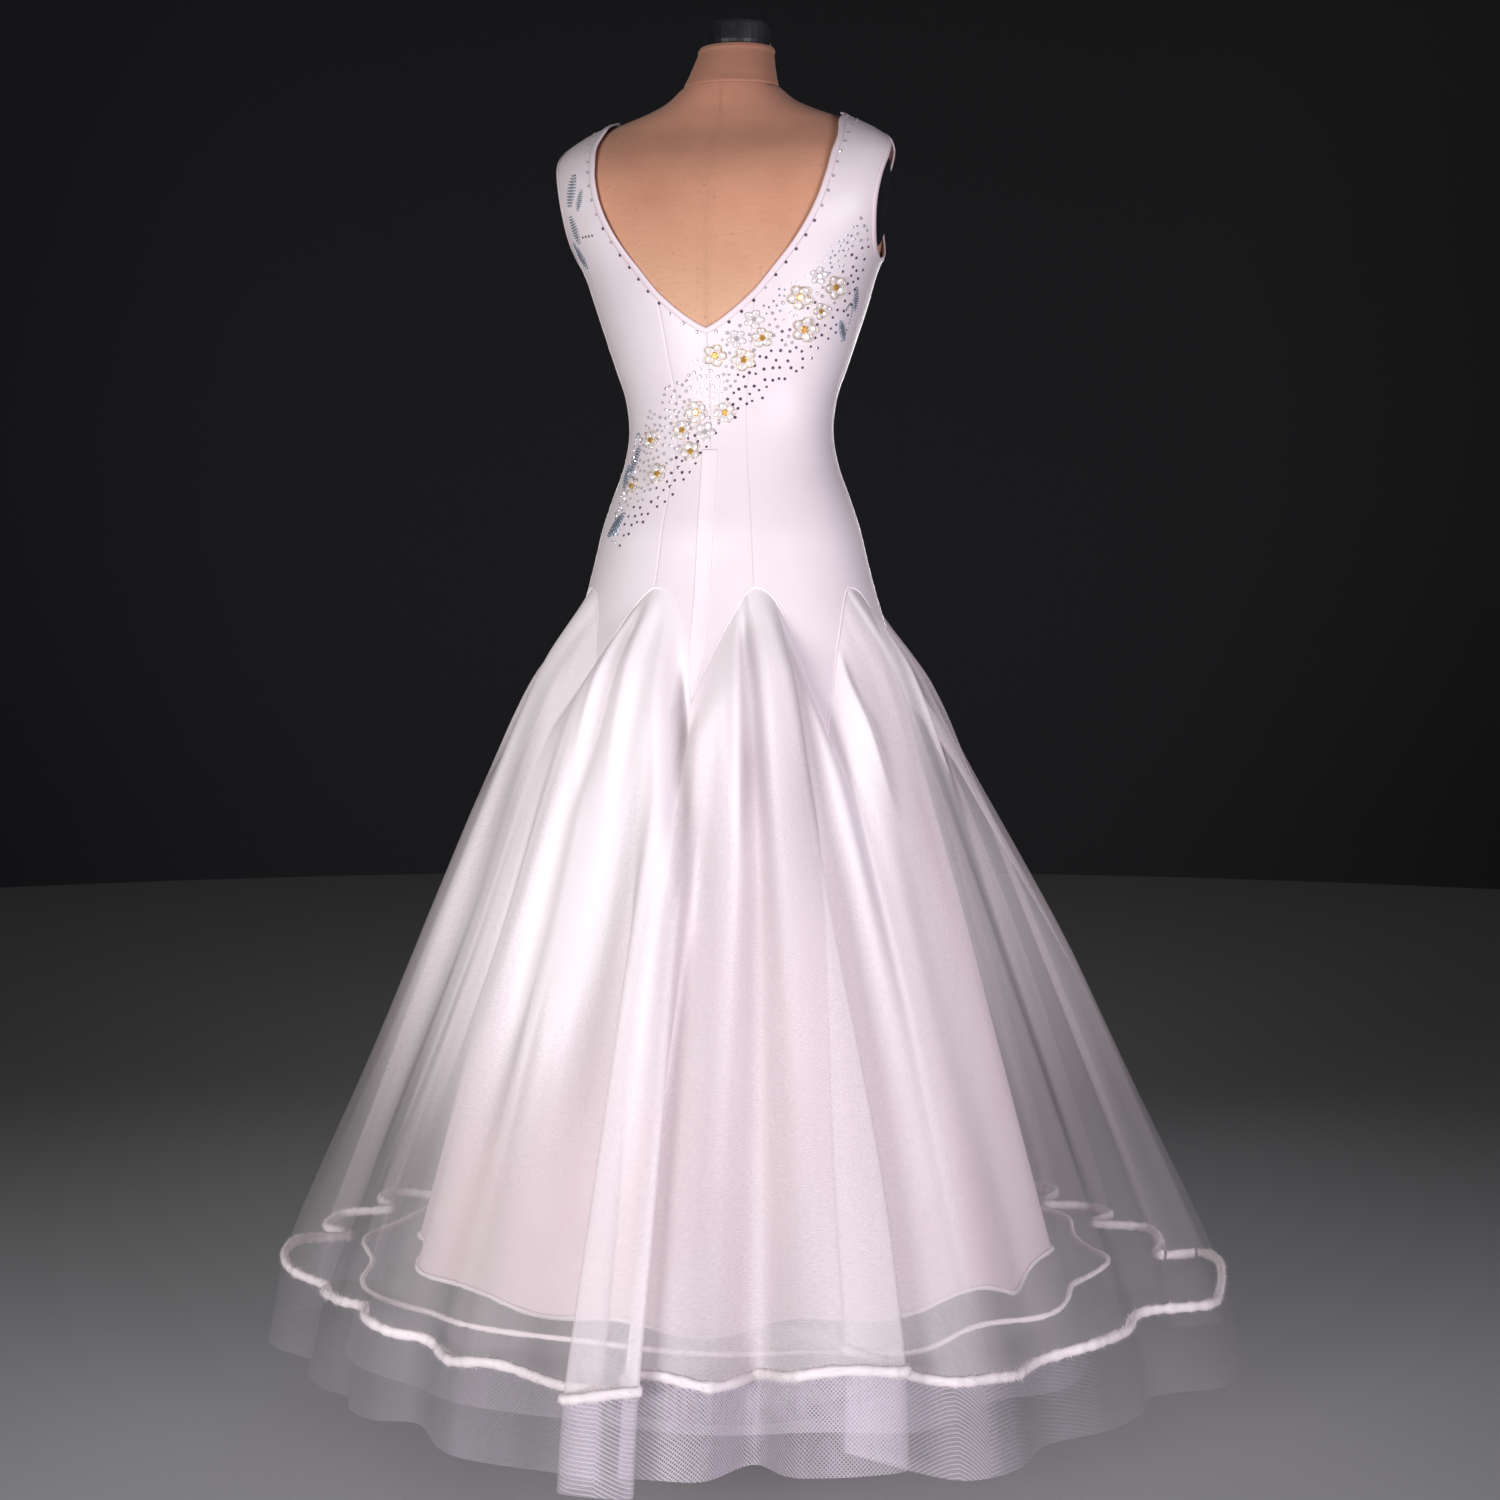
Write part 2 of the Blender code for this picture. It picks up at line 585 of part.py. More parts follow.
def build_front(name):
    """The front, cut in one piece: its right half, mirrored."""
    columns = round((0.5 - SIDE_TURN) * ARCHES * COLUMNS_PER_ARCH)
    rows = panel_rows(FRONT_EDGES, 0.5, columns)
    grid = cloth_grid([list(reversed(row)) for row in rows])
    for row in grid[:-3]:
        if abs(row[-1].x) < 0.001:
            row[-1].x = 0.0
    draw_back_row(grid, 0, ARCH_SEAM_GAP / 2)
    draw_back_row(grid, -1, SEAM_GAP)
    draw_back_column(grid, 0, SEAM_GAP / 2)
    sheet(name, grid, SATIN, CLOTH_THICKNESS, mirrored=True)


# ---- skirt ------------------------------------------------------------------------------------
def front_folds(gore):
    """Three even folds for one of the gores across the front."""
    folds = []
    for k in range(len(FRONT_FOLD_RADII)):
        left = FRONT_FOLDS_FROM + FRONT_FOLD_PITCH * (gore * len(FRONT_FOLD_RADII) + k)
        folds.append(Fold(left, left + FRONT_FOLD_FACE, FRONT_FOLD_RADII[k],
                          left + FRONT_FOLD_TUCK, FRONT_TUCK_RADIUS, 0.004))
    return folds


def gore_folds():
    front = [front_folds(gore) for gore in range(FRONT_GORES)]
    return [BACK_RIGHT_FOLDS, SIDE_RIGHT_FOLDS] + front + [SIDE_LEFT_FOLDS, BACK_LEFT_FOLDS]


def polar(degrees, radius, height):
    angle = math.radians(degrees)
    return Vector((-radius * math.sin(angle), radius * math.cos(angle), height))


def spline_point(before, start, end, after, share):
    """A centripetal spline between start and end, which never loops on itself."""
    knots = [0.0]
    for a, b in ((before, start), (start, end), (end, after)):
        knots.append(knots[-1] + max((b - a).length, 1e-6) ** 0.5)
    t = knots[1] + (knots[2] - knots[1]) * share

    def mix(a, b, low, high):
        return a * ((high - t) / (high - low)) + b * ((t - low) / (high - low))

    first = mix(before, start, knots[0], knots[1])
    second = mix(start, end, knots[1], knots[2])
    third = mix(end, after, knots[2], knots[3])
    near = mix(first, second, knots[0], knots[2])
    far = mix(second, third, knots[1], knots[3])
    return mix(near, far, knots[1], knots[2])


def hem_columns():
    """The outer hem's points: COLUMNS_PER_GORE for each gore, all round."""
    controls = []
    seams = []
    for folds in gore_folds():
        for fold in folds:
            height = HEM_HEIGHT + fold.lift
            controls.append(polar(fold.left, fold.radius, height))
            controls.append(polar(fold.right, fold.radius, height))
            controls.append(polar(fold.tuck, fold.tuck_radius, height))
        seams.append(len(controls) - 3)
    total = len(controls)
    points = []
    for gore, seam in enumerate(seams):
        # A gore's seams lie in the middle of a fold's face: its own last fold's, and that of
        # the gore before it.
        start = seams[gore - 1] - (total if gore == 0 else 0)
        places = [start + 0.5] + [float(k) for k in range(start + 1, seam + 1)] + [seam + 0.5]
        while len(places) < COLUMNS_PER_GORE + 1:
            lengths = [(controls[math.ceil(b) % total] - controls[math.floor(a) % total]).length
                       * (b - a) for a, b in zip(places, places[1:])]
            widest = lengths.index(max(lengths))
            places.insert(widest + 1, (places[widest] + places[widest + 1]) / 2)
        for place in places[:-1]:
            k = math.floor(place)
            around = [controls[(k + step) % total] for step in (-1, 0, 1, 2)]
            points.append(spline_point(*around, place - k))
    return points


def seam_points():
    """The arched seam, at each of the skirt's columns."""
    count = ARCHES * COLUMNS_PER_ARCH
    points = []
    for k in range(count):
        here = cloth_point(k / count, arch_height(k / count))
        following = cloth_point((k + 1) / count, arch_height((k + 1) / count))
        points += [here, (here + following) / 2]
    return points


def skirt_point(top, hem, mean_angle, mean_radius, drop, spread):
    """A point of a skirt: on the way from the seam to the hem, with its share of the folds."""
    top_angle = math.atan2(-top.x, top.y)
    turned = (mean_angle - top_angle + math.pi) % (2 * math.pi) - math.pi
    angle = top_angle + turned * drop
    top_radius = math.hypot(top.x, top.y)
    radius = top_radius + (mean_radius - top_radius) * spread
    plain = Vector((-radius * math.sin(angle), radius * math.cos(angle)))
    end = Vector((-mean_radius * math.sin(mean_angle), mean_radius * math.cos(mean_angle)))
    outward = end.normalized()
    offset = Vector((hem.x, hem.y)) - end
    depth = outward * offset.dot(outward)
    overlap = offset - depth
    overlapped = (drop - OVERLAP_FROM) / (OVERLAP_TO - OVERLAP_FROM)
    place = plain + (depth * smooth_step(drop / FOLD_ONSET)
                     + overlap * smooth_step(overlapped)) * radius / mean_radius
    return Vector((place.x, place.y, top.z + (hem.z - top.z) * drop))


def spread_at(drop):
    return smooth_value([row.drop for row in SKIRT_SPREAD],
                        [row.spread for row in SKIRT_SPREAD], drop)


def smoothed_angles(hem):
    """Each hem point's angle from centre back, averaged over the folds beside it."""
    angles = []
    for point in hem:
        angle = math.atan2(-point.x, point.y)
        if angles:
            angle += 2 * math.pi * round((angles[-1] - angle) / (2 * math.pi))
        angles.append(angle)
    count = len(hem)
    averages = []
    for k in range(count):
        window = []
        for step in range(-FOLD_WINDOW, FOLD_WINDOW + 1):
            turns_past = (k + step) // count
            window.append(angles[(k + step) % count] + 2 * math.pi * turns_past)
        averages.append(sum(window) / len(window))
    return averages


def outer_column(seam_point, hem_point, angle, drops):
    return [skirt_point(seam_point, hem_point, angle, MEAN_HEM_RADIUS, drop, spread_at(drop))
            for drop in drops]


def braid_top(seam, hem):
    """The drop at which the horsehair braid begins."""
    return 1 - BAND_WIDTH / (seam.z - hem.z)


def upward(columns):
    """Columns that run down, turned into rows that go up."""
    return [list(row) for row in reversed(list(zip(*columns)))]


def build_outer_skirt():
    seam = seam_points()
    hem = hem_columns()
    angles = smoothed_angles(hem)
    count = len(hem)
    for gore in range(ARCHES):
        columns = []
        for step in range(COLUMNS_PER_GORE + 1):
            k = (gore * COLUMNS_PER_GORE + step) % count
            reach = braid_top(seam[k], hem[k])
            columns.append(outer_column(seam[k], hem[k], angles[k],
                                        [reach * share for share in GORE_ROWS]))
        grid = upward(columns)
        draw_back_row(grid, -1, ARCH_SEAM_GAP / 2)
        draw_back_row(grid, 0, ARCH_SEAM_GAP / 2)
        draw_back_column(grid, 0, SKIRT_SEAM_GAP / 2)
        draw_back_column(grid, -1, SKIRT_SEAM_GAP / 2)
        sheet(f"outer_gore_{gore + 1}", grid, SHEER, SHEER_THICKNESS, offset=-1.0)
    columns = []
    for k in range(count):
        reach = braid_top(seam[k], hem[k])
        columns.append(outer_column(seam[k], hem[k], angles[k],
                                    [reach + (1 - reach) * share for share in BAND_ROWS]))
    grid = upward(columns)
    draw_back_row(grid, -1, ARCH_SEAM_GAP / 2)
    sheet("outer_hem_braid", grid, BRAID, SHEER_THICKNESS, closed=True, offset=-1.0)


def layer_columns(layer):
    """Columns of an inner skirt layer, from its seam down to its lower edge."""
    seam = [cloth_point(k / (ARCHES * COLUMNS_PER_ARCH), arch_height(k / (ARCHES * COLUMNS_PER_ARCH)))
            for k in range(ARCHES * COLUMNS_PER_ARCH)]
    count = len(seam)
    columns = []
    for k, point in enumerate(seam):
        inward = Vector((-point.x, -point.y, 0.0)).normalized()
        top = point + inward * LAYER_STEP * layer.steps_in - Vector((0, 0, layer.lower))
        angle = 2 * math.pi * k / count
        radius = layer.hem_radius + layer.wave * math.sin(LAYER_WAVES * angle)
        hem = polar(math.degrees(angle), radius, layer.hem_height)
        columns.append([skirt_point(top, hem, angle, layer.hem_radius, drop, drop)
                        for drop in layer.rows])
    return columns


def build_layer(name, layer, recipe):
    columns = layer_columns(layer)
    count = len(columns)
    each = count // QUARTERS
    for quarter in range(QUARTERS):
        chosen = [list(columns[(quarter * each + step) % count]) for step in range(each + 1)]
        grid = upward(chosen)
        draw_back_column(grid, 0, SKIRT_SEAM_GAP / 2)
        draw_back_column(grid, -1, SKIRT_SEAM_GAP / 2)
        sheet(f"{name}_{quarter + 1}", grid, recipe, SHEER_THICKNESS, offset=-1.0)


def build_inner_braid():
    """The braid round the inner layer's hem, which flares a little below it."""
    columns = []
    for column in layer_columns(INNER_LAYER):
        edge = column[-1]
        outward = Vector((edge.x, edge.y, 0.0)).normalized()
        low = edge + outward * INNER_BAND_FLARE - Vector((0, 0, INNER_BAND_WIDTH))
        top = edge - Vector((0, 0, SEAM_GAP))
        columns.append([top, low])
    sheet("inner_hem_braid", upward(columns), BRAID, SHEER_THICKNESS, closed=True, offset=-1.0)


# ---- the whole object ---------------------------------------------------------------------
def main():
    clear_scene()
    collection = bpy.data.collections.new(COLLECTION_NAME)
    bpy.context.scene.collection.children.link(collection)
    build_form()
    build_neck()
    build_cap_and_stand()
    build_arm_plate("arm_plate_left", 1)
    build_arm_plate("arm_plate_right", -1)
    build_centre_back("centre_back_right", 1)
    build_centre_back("centre_back_left", -1)
    build_side_back("side_back_right", 1)
    build_side_back("side_back_left", -1)
    build_front("front")
    build_outer_skirt()
    build_layer("inner_layer", INNER_LAYER, SHEER)
    build_inner_braid()
    build_layer("lining", LINING, LINING_CLOTH)


main()
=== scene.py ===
import math
from collections import namedtuple

import bmesh
import bpy
import numpy as np
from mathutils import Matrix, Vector


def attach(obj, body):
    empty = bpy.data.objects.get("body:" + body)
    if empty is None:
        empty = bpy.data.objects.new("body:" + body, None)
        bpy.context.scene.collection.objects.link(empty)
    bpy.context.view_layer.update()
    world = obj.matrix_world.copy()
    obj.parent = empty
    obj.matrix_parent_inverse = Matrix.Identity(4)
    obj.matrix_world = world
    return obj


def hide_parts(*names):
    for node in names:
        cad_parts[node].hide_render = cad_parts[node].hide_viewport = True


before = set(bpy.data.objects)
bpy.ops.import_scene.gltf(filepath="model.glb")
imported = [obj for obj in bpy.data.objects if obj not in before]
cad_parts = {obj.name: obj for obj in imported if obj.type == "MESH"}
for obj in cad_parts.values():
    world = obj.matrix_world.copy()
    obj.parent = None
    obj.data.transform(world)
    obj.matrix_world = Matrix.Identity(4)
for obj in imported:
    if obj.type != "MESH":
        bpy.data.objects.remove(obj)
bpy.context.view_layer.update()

# The figure's level sections. These, the panels' edges and the skirt's folds are the solids' own values.
Section = namedtuple("Section", "height halfWidth back front widestY squareness")
figureRows = [Section(*row) for row in (
    (0.950, 0.1590, 0.1155, 0.0920, 0.000, 2.05), (0.985, 0.1505, 0.1100, 0.0920, 0.000, 2.05),
    (1.020, 0.1390, 0.1010, 0.0910, 0.000, 2.05), (1.060, 0.1245, 0.0915, 0.0895, 0.000, 2.05),
    (1.100, 0.1180, 0.0865, 0.0890, 0.000, 2.05), (1.140, 0.1225, 0.0900, 0.0960, 0.000, 2.05),
    (1.175, 0.1340, 0.0975, 0.1070, 0.000, 2.10), (1.211, 0.1460, 0.1060, 0.1200, 0.000, 2.10),
    (1.246, 0.1575, 0.1120, 0.1270, 0.000, 2.15), (1.275, 0.1665, 0.1150, 0.1200, 0.002, 2.20),
    (1.300, 0.1760, 0.1165, 0.1070, 0.004, 2.25), (1.330, 0.1875, 0.1165, 0.0920, 0.010, 2.30),
    (1.360, 0.1965, 0.1130, 0.0790, 0.016, 2.35), (1.388, 0.2010, 0.1050, 0.0670, 0.018, 2.35),
    (1.410, 0.1995, 0.0930, 0.0570, 0.018, 2.30), (1.426, 0.1900, 0.0800, 0.0480, 0.016, 2.25),
    (1.440, 0.1710, 0.0680, 0.0410, 0.013, 2.20), (1.451, 0.1500, 0.0600, 0.0370, 0.010, 2.15),
    (1.460, 0.1310, 0.0550, 0.0350, 0.008, 2.10), (1.471, 0.1030, 0.0500, 0.0350, 0.004, 2.05),
    (1.483, 0.0780, 0.0470, 0.0385, 0.002, 2.00), (1.500, 0.0580, 0.0440, 0.0430, 0.000, 2.00))]
formHipRows = [Section(*row) for row in (
    (0.820, 0.1380, 0.0960, 0.0780, 0.000, 2.05), (0.870, 0.1480, 0.1050, 0.0850, 0.000, 2.05),
    (0.915, 0.1555, 0.1110, 0.0890, 0.000, 2.05))]
yokeFlareRows = [Section(*row) for row in (
    (0.730, 0.2290, 0.1850, 0.1600, 0.000, 2.00), (0.800, 0.2050, 0.1610, 0.1360, 0.000, 2.00),
    (0.840, 0.1910, 0.1470, 0.1220, 0.000, 2.00), (0.880, 0.1785, 0.1330, 0.1085, 0.000, 2.05),
    (0.915, 0.1680, 0.1230, 0.0985, 0.000, 2.05))]
formRows = formHipRows + figureRows
dressRows = yokeFlareRows + figureRows
spacingEvener = 0.075
fullTurn = 2 * math.pi


def smoothCurve(xs, ys, x):
    # a smooth curve through a table's points, read at x
    xs, ys = np.asarray(xs, float), np.asarray(ys, float)
    slopes = np.empty_like(ys)
    slopes[1:-1] = (ys[2:] - ys[:-2]) / (xs[2:] - xs[:-2])
    slopes[0] = (ys[1] - ys[0]) / (xs[1] - xs[0])
    slopes[-1] = (ys[-1] - ys[-2]) / (xs[-1] - xs[-2])
    x = np.clip(x, xs[0], xs[-1])
    i = np.clip(np.searchsorted(xs, x) - 1, 0, len(xs) - 2)
    step = xs[i + 1] - xs[i]
    t = (x - xs[i]) / step
    near = (1 + 2 * t) * (1 - t) ** 2 * ys[i] + t * (1 - t) ** 2 * step * slopes[i]
    far = t * t * (3 - 2 * t) * ys[i + 1] - t * t * (1 - t) * step * slopes[i + 1]
    return near + far


def smoothStep(value):
    value = np.clip(value, 0.0, 1.0)
    return value * value * (3 - 2 * value)


def signedPower(value, power):
    return np.sign(value) * np.abs(value) ** power


def unit(vectors):
    return vectors / np.linalg.norm(vectors, axis=-1, keepdims=True)


def reachAlong(points):
    # how far along a line of points each of them lies
    return np.concatenate([[0.0], np.cumsum(np.linalg.norm(np.diff(points, axis=0), axis=1))])


def rejoined(line):
    # a line whose last point is its first again
    return np.concatenate([line, line[:1]])


def facesOf(index):
    corners = [index[:-1, :-1], index[:-1, 1:], index[1:, 1:], index[1:, :-1]]
    return np.stack(corners, axis=-1).reshape(-1, 4)


def figurePoint(rows, turn, height):
    turn, height = np.broadcast_arrays(np.asarray(turn, float), np.asarray(height, float))
    heights = [row.height for row in rows]
    halfWidth, back, front, widestY, squareness = (
        smoothCurve(heights, [row[k] for row in rows], height) for k in range(1, 6))
    angle = fullTurn * turn - spacingEvener * np.sin(2 * fullTurn * turn)
    x = -halfWidth * signedPower(np.sin(angle), 2 / squareness)
    along = signedPower(np.cos(angle), 2 / squareness)
    depth = np.where(along > 0, back - widestY, front + widestY)
    return np.stack([x, widestY + depth * along, height], axis=-1)


def figureOutward(rows, turn, height, step=0.001):
    across = figurePoint(rows, turn + step, height) - figurePoint(rows, turn - step, height)
    up = figurePoint(rows, turn, height + step) - figurePoint(rows, turn, height - step)
    return unit(np.cross(across, up))


clothFit = {
    "clearance": 0.0012,
    "shoulderEase": 0.0034,
    "easeFrom": 1.275,
    "easeTo": 1.340,
    "thickness": 0.0011,
}


def clothFrame(turn, height, lift=0.0):
    # a point of the fitted cloth's inner face, moved out by lift, and the way out of the cloth there
    outward = figureOutward(dressRows, turn, height)
    span = clothFit["easeTo"] - clothFit["easeFrom"]
    ease = clothFit["shoulderEase"] * smoothStep((height - clothFit["easeFrom"]) / span)
    out = clothFit["clearance"] + ease + lift
    return figurePoint(dressRows, turn, height) + np.asarray(out)[..., None] * outward, outward


def placeObject(name, data):
    obj = bpy.data.objects.new(name, data)
    bpy.context.scene.collection.objects.link(obj)
    return obj


def paint(mesh, material):
    mesh.materials.clear()
    mesh.materials.append(material)


def keepMesh(name, mesh, material):
    paint(mesh, material)
    mesh.shade_smooth()
    return placeObject(name, mesh)


def newMesh(name, points, faces=()):
    mesh = bpy.data.meshes.new(name)
    mesh.from_pydata(np.reshape(points, (-1, 3)).tolist(), [], faces)
    return mesh


def giveSpots(mesh, spots):
    # cloth coordinates in metres, a pair for each corner of each face
    layer = mesh.uv_layers.new(name="cloth")
    layer.data.foreach_set("uv", np.asarray(spots, np.float32).ravel())


def giveValues(mesh, name, values, kind="FLOAT"):
    # a number or a vector for each point
    data = mesh.attributes.new(name, kind, "POINT").data
    data.foreach_set("value" if kind == "FLOAT" else "vector", np.ravel(values))


def gridIndex(rows, columns, closed=True):
    # the numbers of a grid's points, with its first column again after the last where it closes
    index = np.arange(rows * columns).reshape(rows, columns)
    return np.concatenate([index, index[:, :1]], axis=1) if closed else index


def changeMesh(mesh, change):
    shape = bmesh.new()
    shape.from_mesh(mesh)
    change(shape)
    shape.to_mesh(mesh)
    shape.free()


def gridMesh(name, grids, material, closed=False, wall=None, fullness=None):
    # each grid is (points, cloth coordinates); its rows go up and its columns go to higher turns.
    # The cloth coordinates of a closed grid have one more column.
    points, spots, faces = [], [], []
    for grid, flat in grids:
        faces.append(sum(map(len, points)) + facesOf(gridIndex(*grid.shape[:2], closed)))
        points.append(grid.reshape(-1, 3))
        spots.append(flat.reshape(-1, 2)[facesOf(gridIndex(*flat.shape[:2], False))])
    mesh = newMesh(name, np.concatenate(points), np.concatenate(faces).tolist())
    giveSpots(mesh, np.concatenate(spots))
    if len(grids) > 1:
        changeMesh(mesh, lambda shape: bmesh.ops.remove_doubles(shape, verts=shape.verts, dist=0.00005))
    if fullness is not None:
        giveValues(mesh, "fullness", fullness)
    obj = keepMesh(name, mesh, material)
    if wall:
        solid = obj.modifiers.new("wall", "SOLIDIFY")
        solid.thickness, solid.offset = wall
    return obj


def giveFlat(mesh, across, up, columns):
    # cloth coordinates for a mesh of rows of points that close round on themselves
    spots = []
    for face in mesh.polygons:
        places = [divmod(vertex, columns) for vertex in face.vertices]
        wraps = max(column for _, column in places) - min(column for _, column in places) > columns / 2
        for row, column in places:
            spots.append((across[columns if wraps and column == 0 else column], up[row]))
    giveSpots(mesh, spots)


def sweep(name, path, normals, profile, material, closed=True, scales=None):
    # a closed profile of (out, across) offsets carried along a path that lies on a surface
    count, sides = len(path), len(profile)
    if closed:
        ahead, behind = np.roll(path, -1, axis=0), np.roll(path, 1, axis=0)
    else:
        ahead, behind = np.concatenate([path[1:], path[-1:]]), np.concatenate([path[:1], path[:-1]])
    along = unit(ahead - behind)
    across = unit(np.cross(along, normals))
    out = np.cross(across, along)
    scales = np.ones(count) if scales is None else scales
    rings = np.stack([path + scales[:, None] * (o * out + a * across) for o, a in profile], axis=1)
    index = gridIndex(count, sides)
    faces = facesOf(rejoined(index) if closed else index)[:, [0, 3, 2, 1]].tolist()
    if not closed:
        faces += [list(range(sides)), list(reversed(range((count - 1) * sides, count * sides)))]
    mesh = newMesh(name, rings, faces)
    girth = sum(math.dist(profile[k - 1], profile[k]) for k in range(sides))
    giveFlat(mesh, [girth * k / sides for k in range(sides + 1)], reachAlong(path), sides)
    changeMesh(mesh, lambda shape: bmesh.ops.recalc_face_normals(shape, faces=shape.faces))
    return keepMesh(name, mesh, material)


def ovalProfile(out, across, sides, lift=0.0):
    return [(lift + out * math.cos(fullTurn * k / sides), across * math.sin(fullTurn * k / sides))
            for k in range(sides)]


def ringsMesh(name, rings, material, girth):
    # a closed solid through level rings, from the lowest up
    rows, columns = rings.shape[:2]
    faces = facesOf(gridIndex(rows, columns)).tolist()
    faces += [list(reversed(range(columns))), list(range((rows - 1) * columns, rows * columns))]
    mesh = newMesh(name, rings, faces)
    giveFlat(mesh, np.linspace(0.0, girth, columns + 1), rings[:, 0, 2], columns)
    obj = keepMesh(name, mesh, material)
    mesh.set_sharp_from_angle(angle=math.radians(50))
    return obj


def settle(piece, slotName, *replaced):
    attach(piece, "root")
    if replaced:
        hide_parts(*replaced)


def makeGroup(name, inputs, outputs):
    group = bpy.data.node_groups.new(name, "ShaderNodeTree")
    for label, kind, value in inputs:
        socket = group.interface.new_socket(label, in_out="INPUT", socket_type="NodeSocket" + kind)
        socket.default_value = value
    for label, kind in outputs:
        group.interface.new_socket(label, in_out="OUTPUT", socket_type="NodeSocket" + kind)
    into, out = group.nodes.new("NodeGroupInput"), group.nodes.new("NodeGroupOutput")
    return group, into.outputs, out.inputs


def connect(tree, value, socket):
    if isinstance(value, bpy.types.NodeSocket):
        tree.links.new(value, socket)
    else:
        socket.default_value = value


def axesOf(tree, vector):
    split = tree.nodes.new("ShaderNodeSeparateXYZ")
    connect(tree, vector, split.inputs[0])
    return split.outputs


def calc(tree, operation, *values):
    node = tree.nodes.new("ShaderNodeMath")
    node.operation = operation
    for value, socket in zip(values, node.inputs):
        connect(tree, value, socket)
    return node.outputs[0]


def times(tree, first, second):
    return calc(tree, "MULTIPLY", first, second)


def noise(tree, vector, scale, detail=3.0, roughness=0.5, distortion=0.0):
    node = tree.nodes.new("ShaderNodeTexNoise")
    connect(tree, vector, node.inputs["Vector"])
    connect(tree, scale, node.inputs["Scale"])
    node.inputs["Detail"].default_value = detail
    node.inputs["Roughness"].default_value = roughness
    node.inputs["Distortion"].default_value = distortion
    return node.outputs["Fac"]


def blendColours(tree, amount, first, second):
    node = tree.nodes.new("ShaderNodeMix")
    node.data_type = "RGBA"
    for value, place in ((amount, 0), (first, 6), (second, 7)):
        connect(tree, value, node.inputs[place])
    return node.outputs[2]


def spread(tree, value, low, high, toLow=0.0, toHigh=1.0):
    node = tree.nodes.new("ShaderNodeMapRange")
    labels = ("Value", "From Min", "From Max", "To Min", "To Max")
    for item, label in zip((value, low, high, toLow, toHigh), labels):
        connect(tree, item, node.inputs[label])
    return node.outputs["Result"]


def makeWeaveGroup():
    # threads over and under one another, from cloth coordinates in metres
    group, into, out = makeGroup(
        "plain weave",
        [("Cloth", "Vector", (0, 0, 0)), ("Threads per metre", "Float", 900.0),
         ("Unevenness", "Float", 0.3)],
        [("Height", "Float"), ("Slub", "Float")])
    axes = axesOf(group, into["Cloth"])
    threads = into["Threads per metre"]
    turns = times(group, threads, math.pi)
    warp = calc(group, "SINE", times(group, axes["X"], turns))
    weft = calc(group, "SINE", times(group, axes["Y"], turns))
    stretched = group.nodes.new("ShaderNodeCombineXYZ")
    group.links.new(times(group, axes["X"], 0.12), stretched.inputs["X"])
    group.links.new(axes["Y"], stretched.inputs["Y"])
    slub = noise(group, stretched.outputs[0], times(group, threads, 0.8), 2.0)
    weave = calc(group, "MULTIPLY_ADD", times(group, warp, weft), 0.5, 0.5)
    uneven = times(group, into["Unevenness"], slub)
    group.links.new(calc(group, "ADD", weave, uneven), out["Height"])
    group.links.new(slub, out["Slub"])
    return group


def makeToneGroup():
    # two colours in soft patches
    group, into, out = makeGroup(
        "soft tone",
        [("Place", "Vector", (0, 0, 0)), ("Scale", "Float", 4.0),
         ("Light", "Color", (1, 1, 1, 1)), ("Dark", "Color", (0.8, 0.8, 0.8, 1))],
        [("Color", "Color"), ("Patch", "Float")])
    broad = noise(group, into["Place"], into["Scale"], 4.0, 0.55)
    patch = spread(group, broad, 0.35, 0.65)
    colour = blendColours(group, patch, into["Light"], into["Dark"])
    group.links.new(colour, out["Color"])
    group.links.new(patch, out["Patch"])
    return group


def makeBraidGroup():
    # horsehair braid: two sets of slanting filaments, with the curling shimmer of one over another
    group, into, out = makeGroup(
        "horsehair mesh",
        [("Cloth", "Vector", (0, 0, 0)), ("Spacing", "Float", 0.004),
         ("Shimmer size", "Float", 0.03)],
        [("Filament", "Float"), ("Shimmer", "Float")])
    axes = axesOf(group, into["Cloth"])
    turns = calc(group, "DIVIDE", math.pi, into["Spacing"])
    lines = []
    for operation in ("ADD", "SUBTRACT"):
        slant = calc(group, operation, axes["X"], axes["Y"])
        wave = calc(group, "ABSOLUTE", calc(group, "SINE", times(group, slant, turns)))
        lines.append(calc(group, "POWER", wave, 6.0))
    group.links.new(calc(group, "MAXIMUM", *lines), out["Filament"])
    curlScale = calc(group, "DIVIDE", 0.35, into["Shimmer size"])
    curl = noise(group, into["Cloth"], curlScale, 1.0, 0.4, 1.2)
    rings = calc(group, "SINE", times(group, curl, 90.0))
    group.links.new(calc(group, "MULTIPLY_ADD", rings, 0.5, 0.5), out["Shimmer"])
    return group


weaveGroup = makeWeaveGroup()
toneGroup = makeToneGroup()
braidGroup = makeBraidGroup()


def useGroup(tree, group, **values):
    node = tree.nodes.new("ShaderNodeGroup")
    node.node_tree = group
    for label, value in values.items():
        connect(tree, value, node.inputs[label.replace("_", " ")])
    return node


def startMaterial(name, roughness, **settings):
    material = bpy.data.materials.new(name)
    material.use_nodes = True
    tree = material.node_tree
    shader = tree.nodes["Principled BSDF"]
    shader.inputs["Roughness"].default_value = roughness
    for label, value in settings.items():
        shader.inputs[label.replace("_", " ")].default_value = value
    coordinates = tree.nodes.new("ShaderNodeTexCoord")
    cloth = tree.nodes.new("ShaderNodeUVMap")
    cloth.uv_map = "cloth"
    return material, tree, shader, coordinates.outputs["Object"], cloth.outputs["UV"]


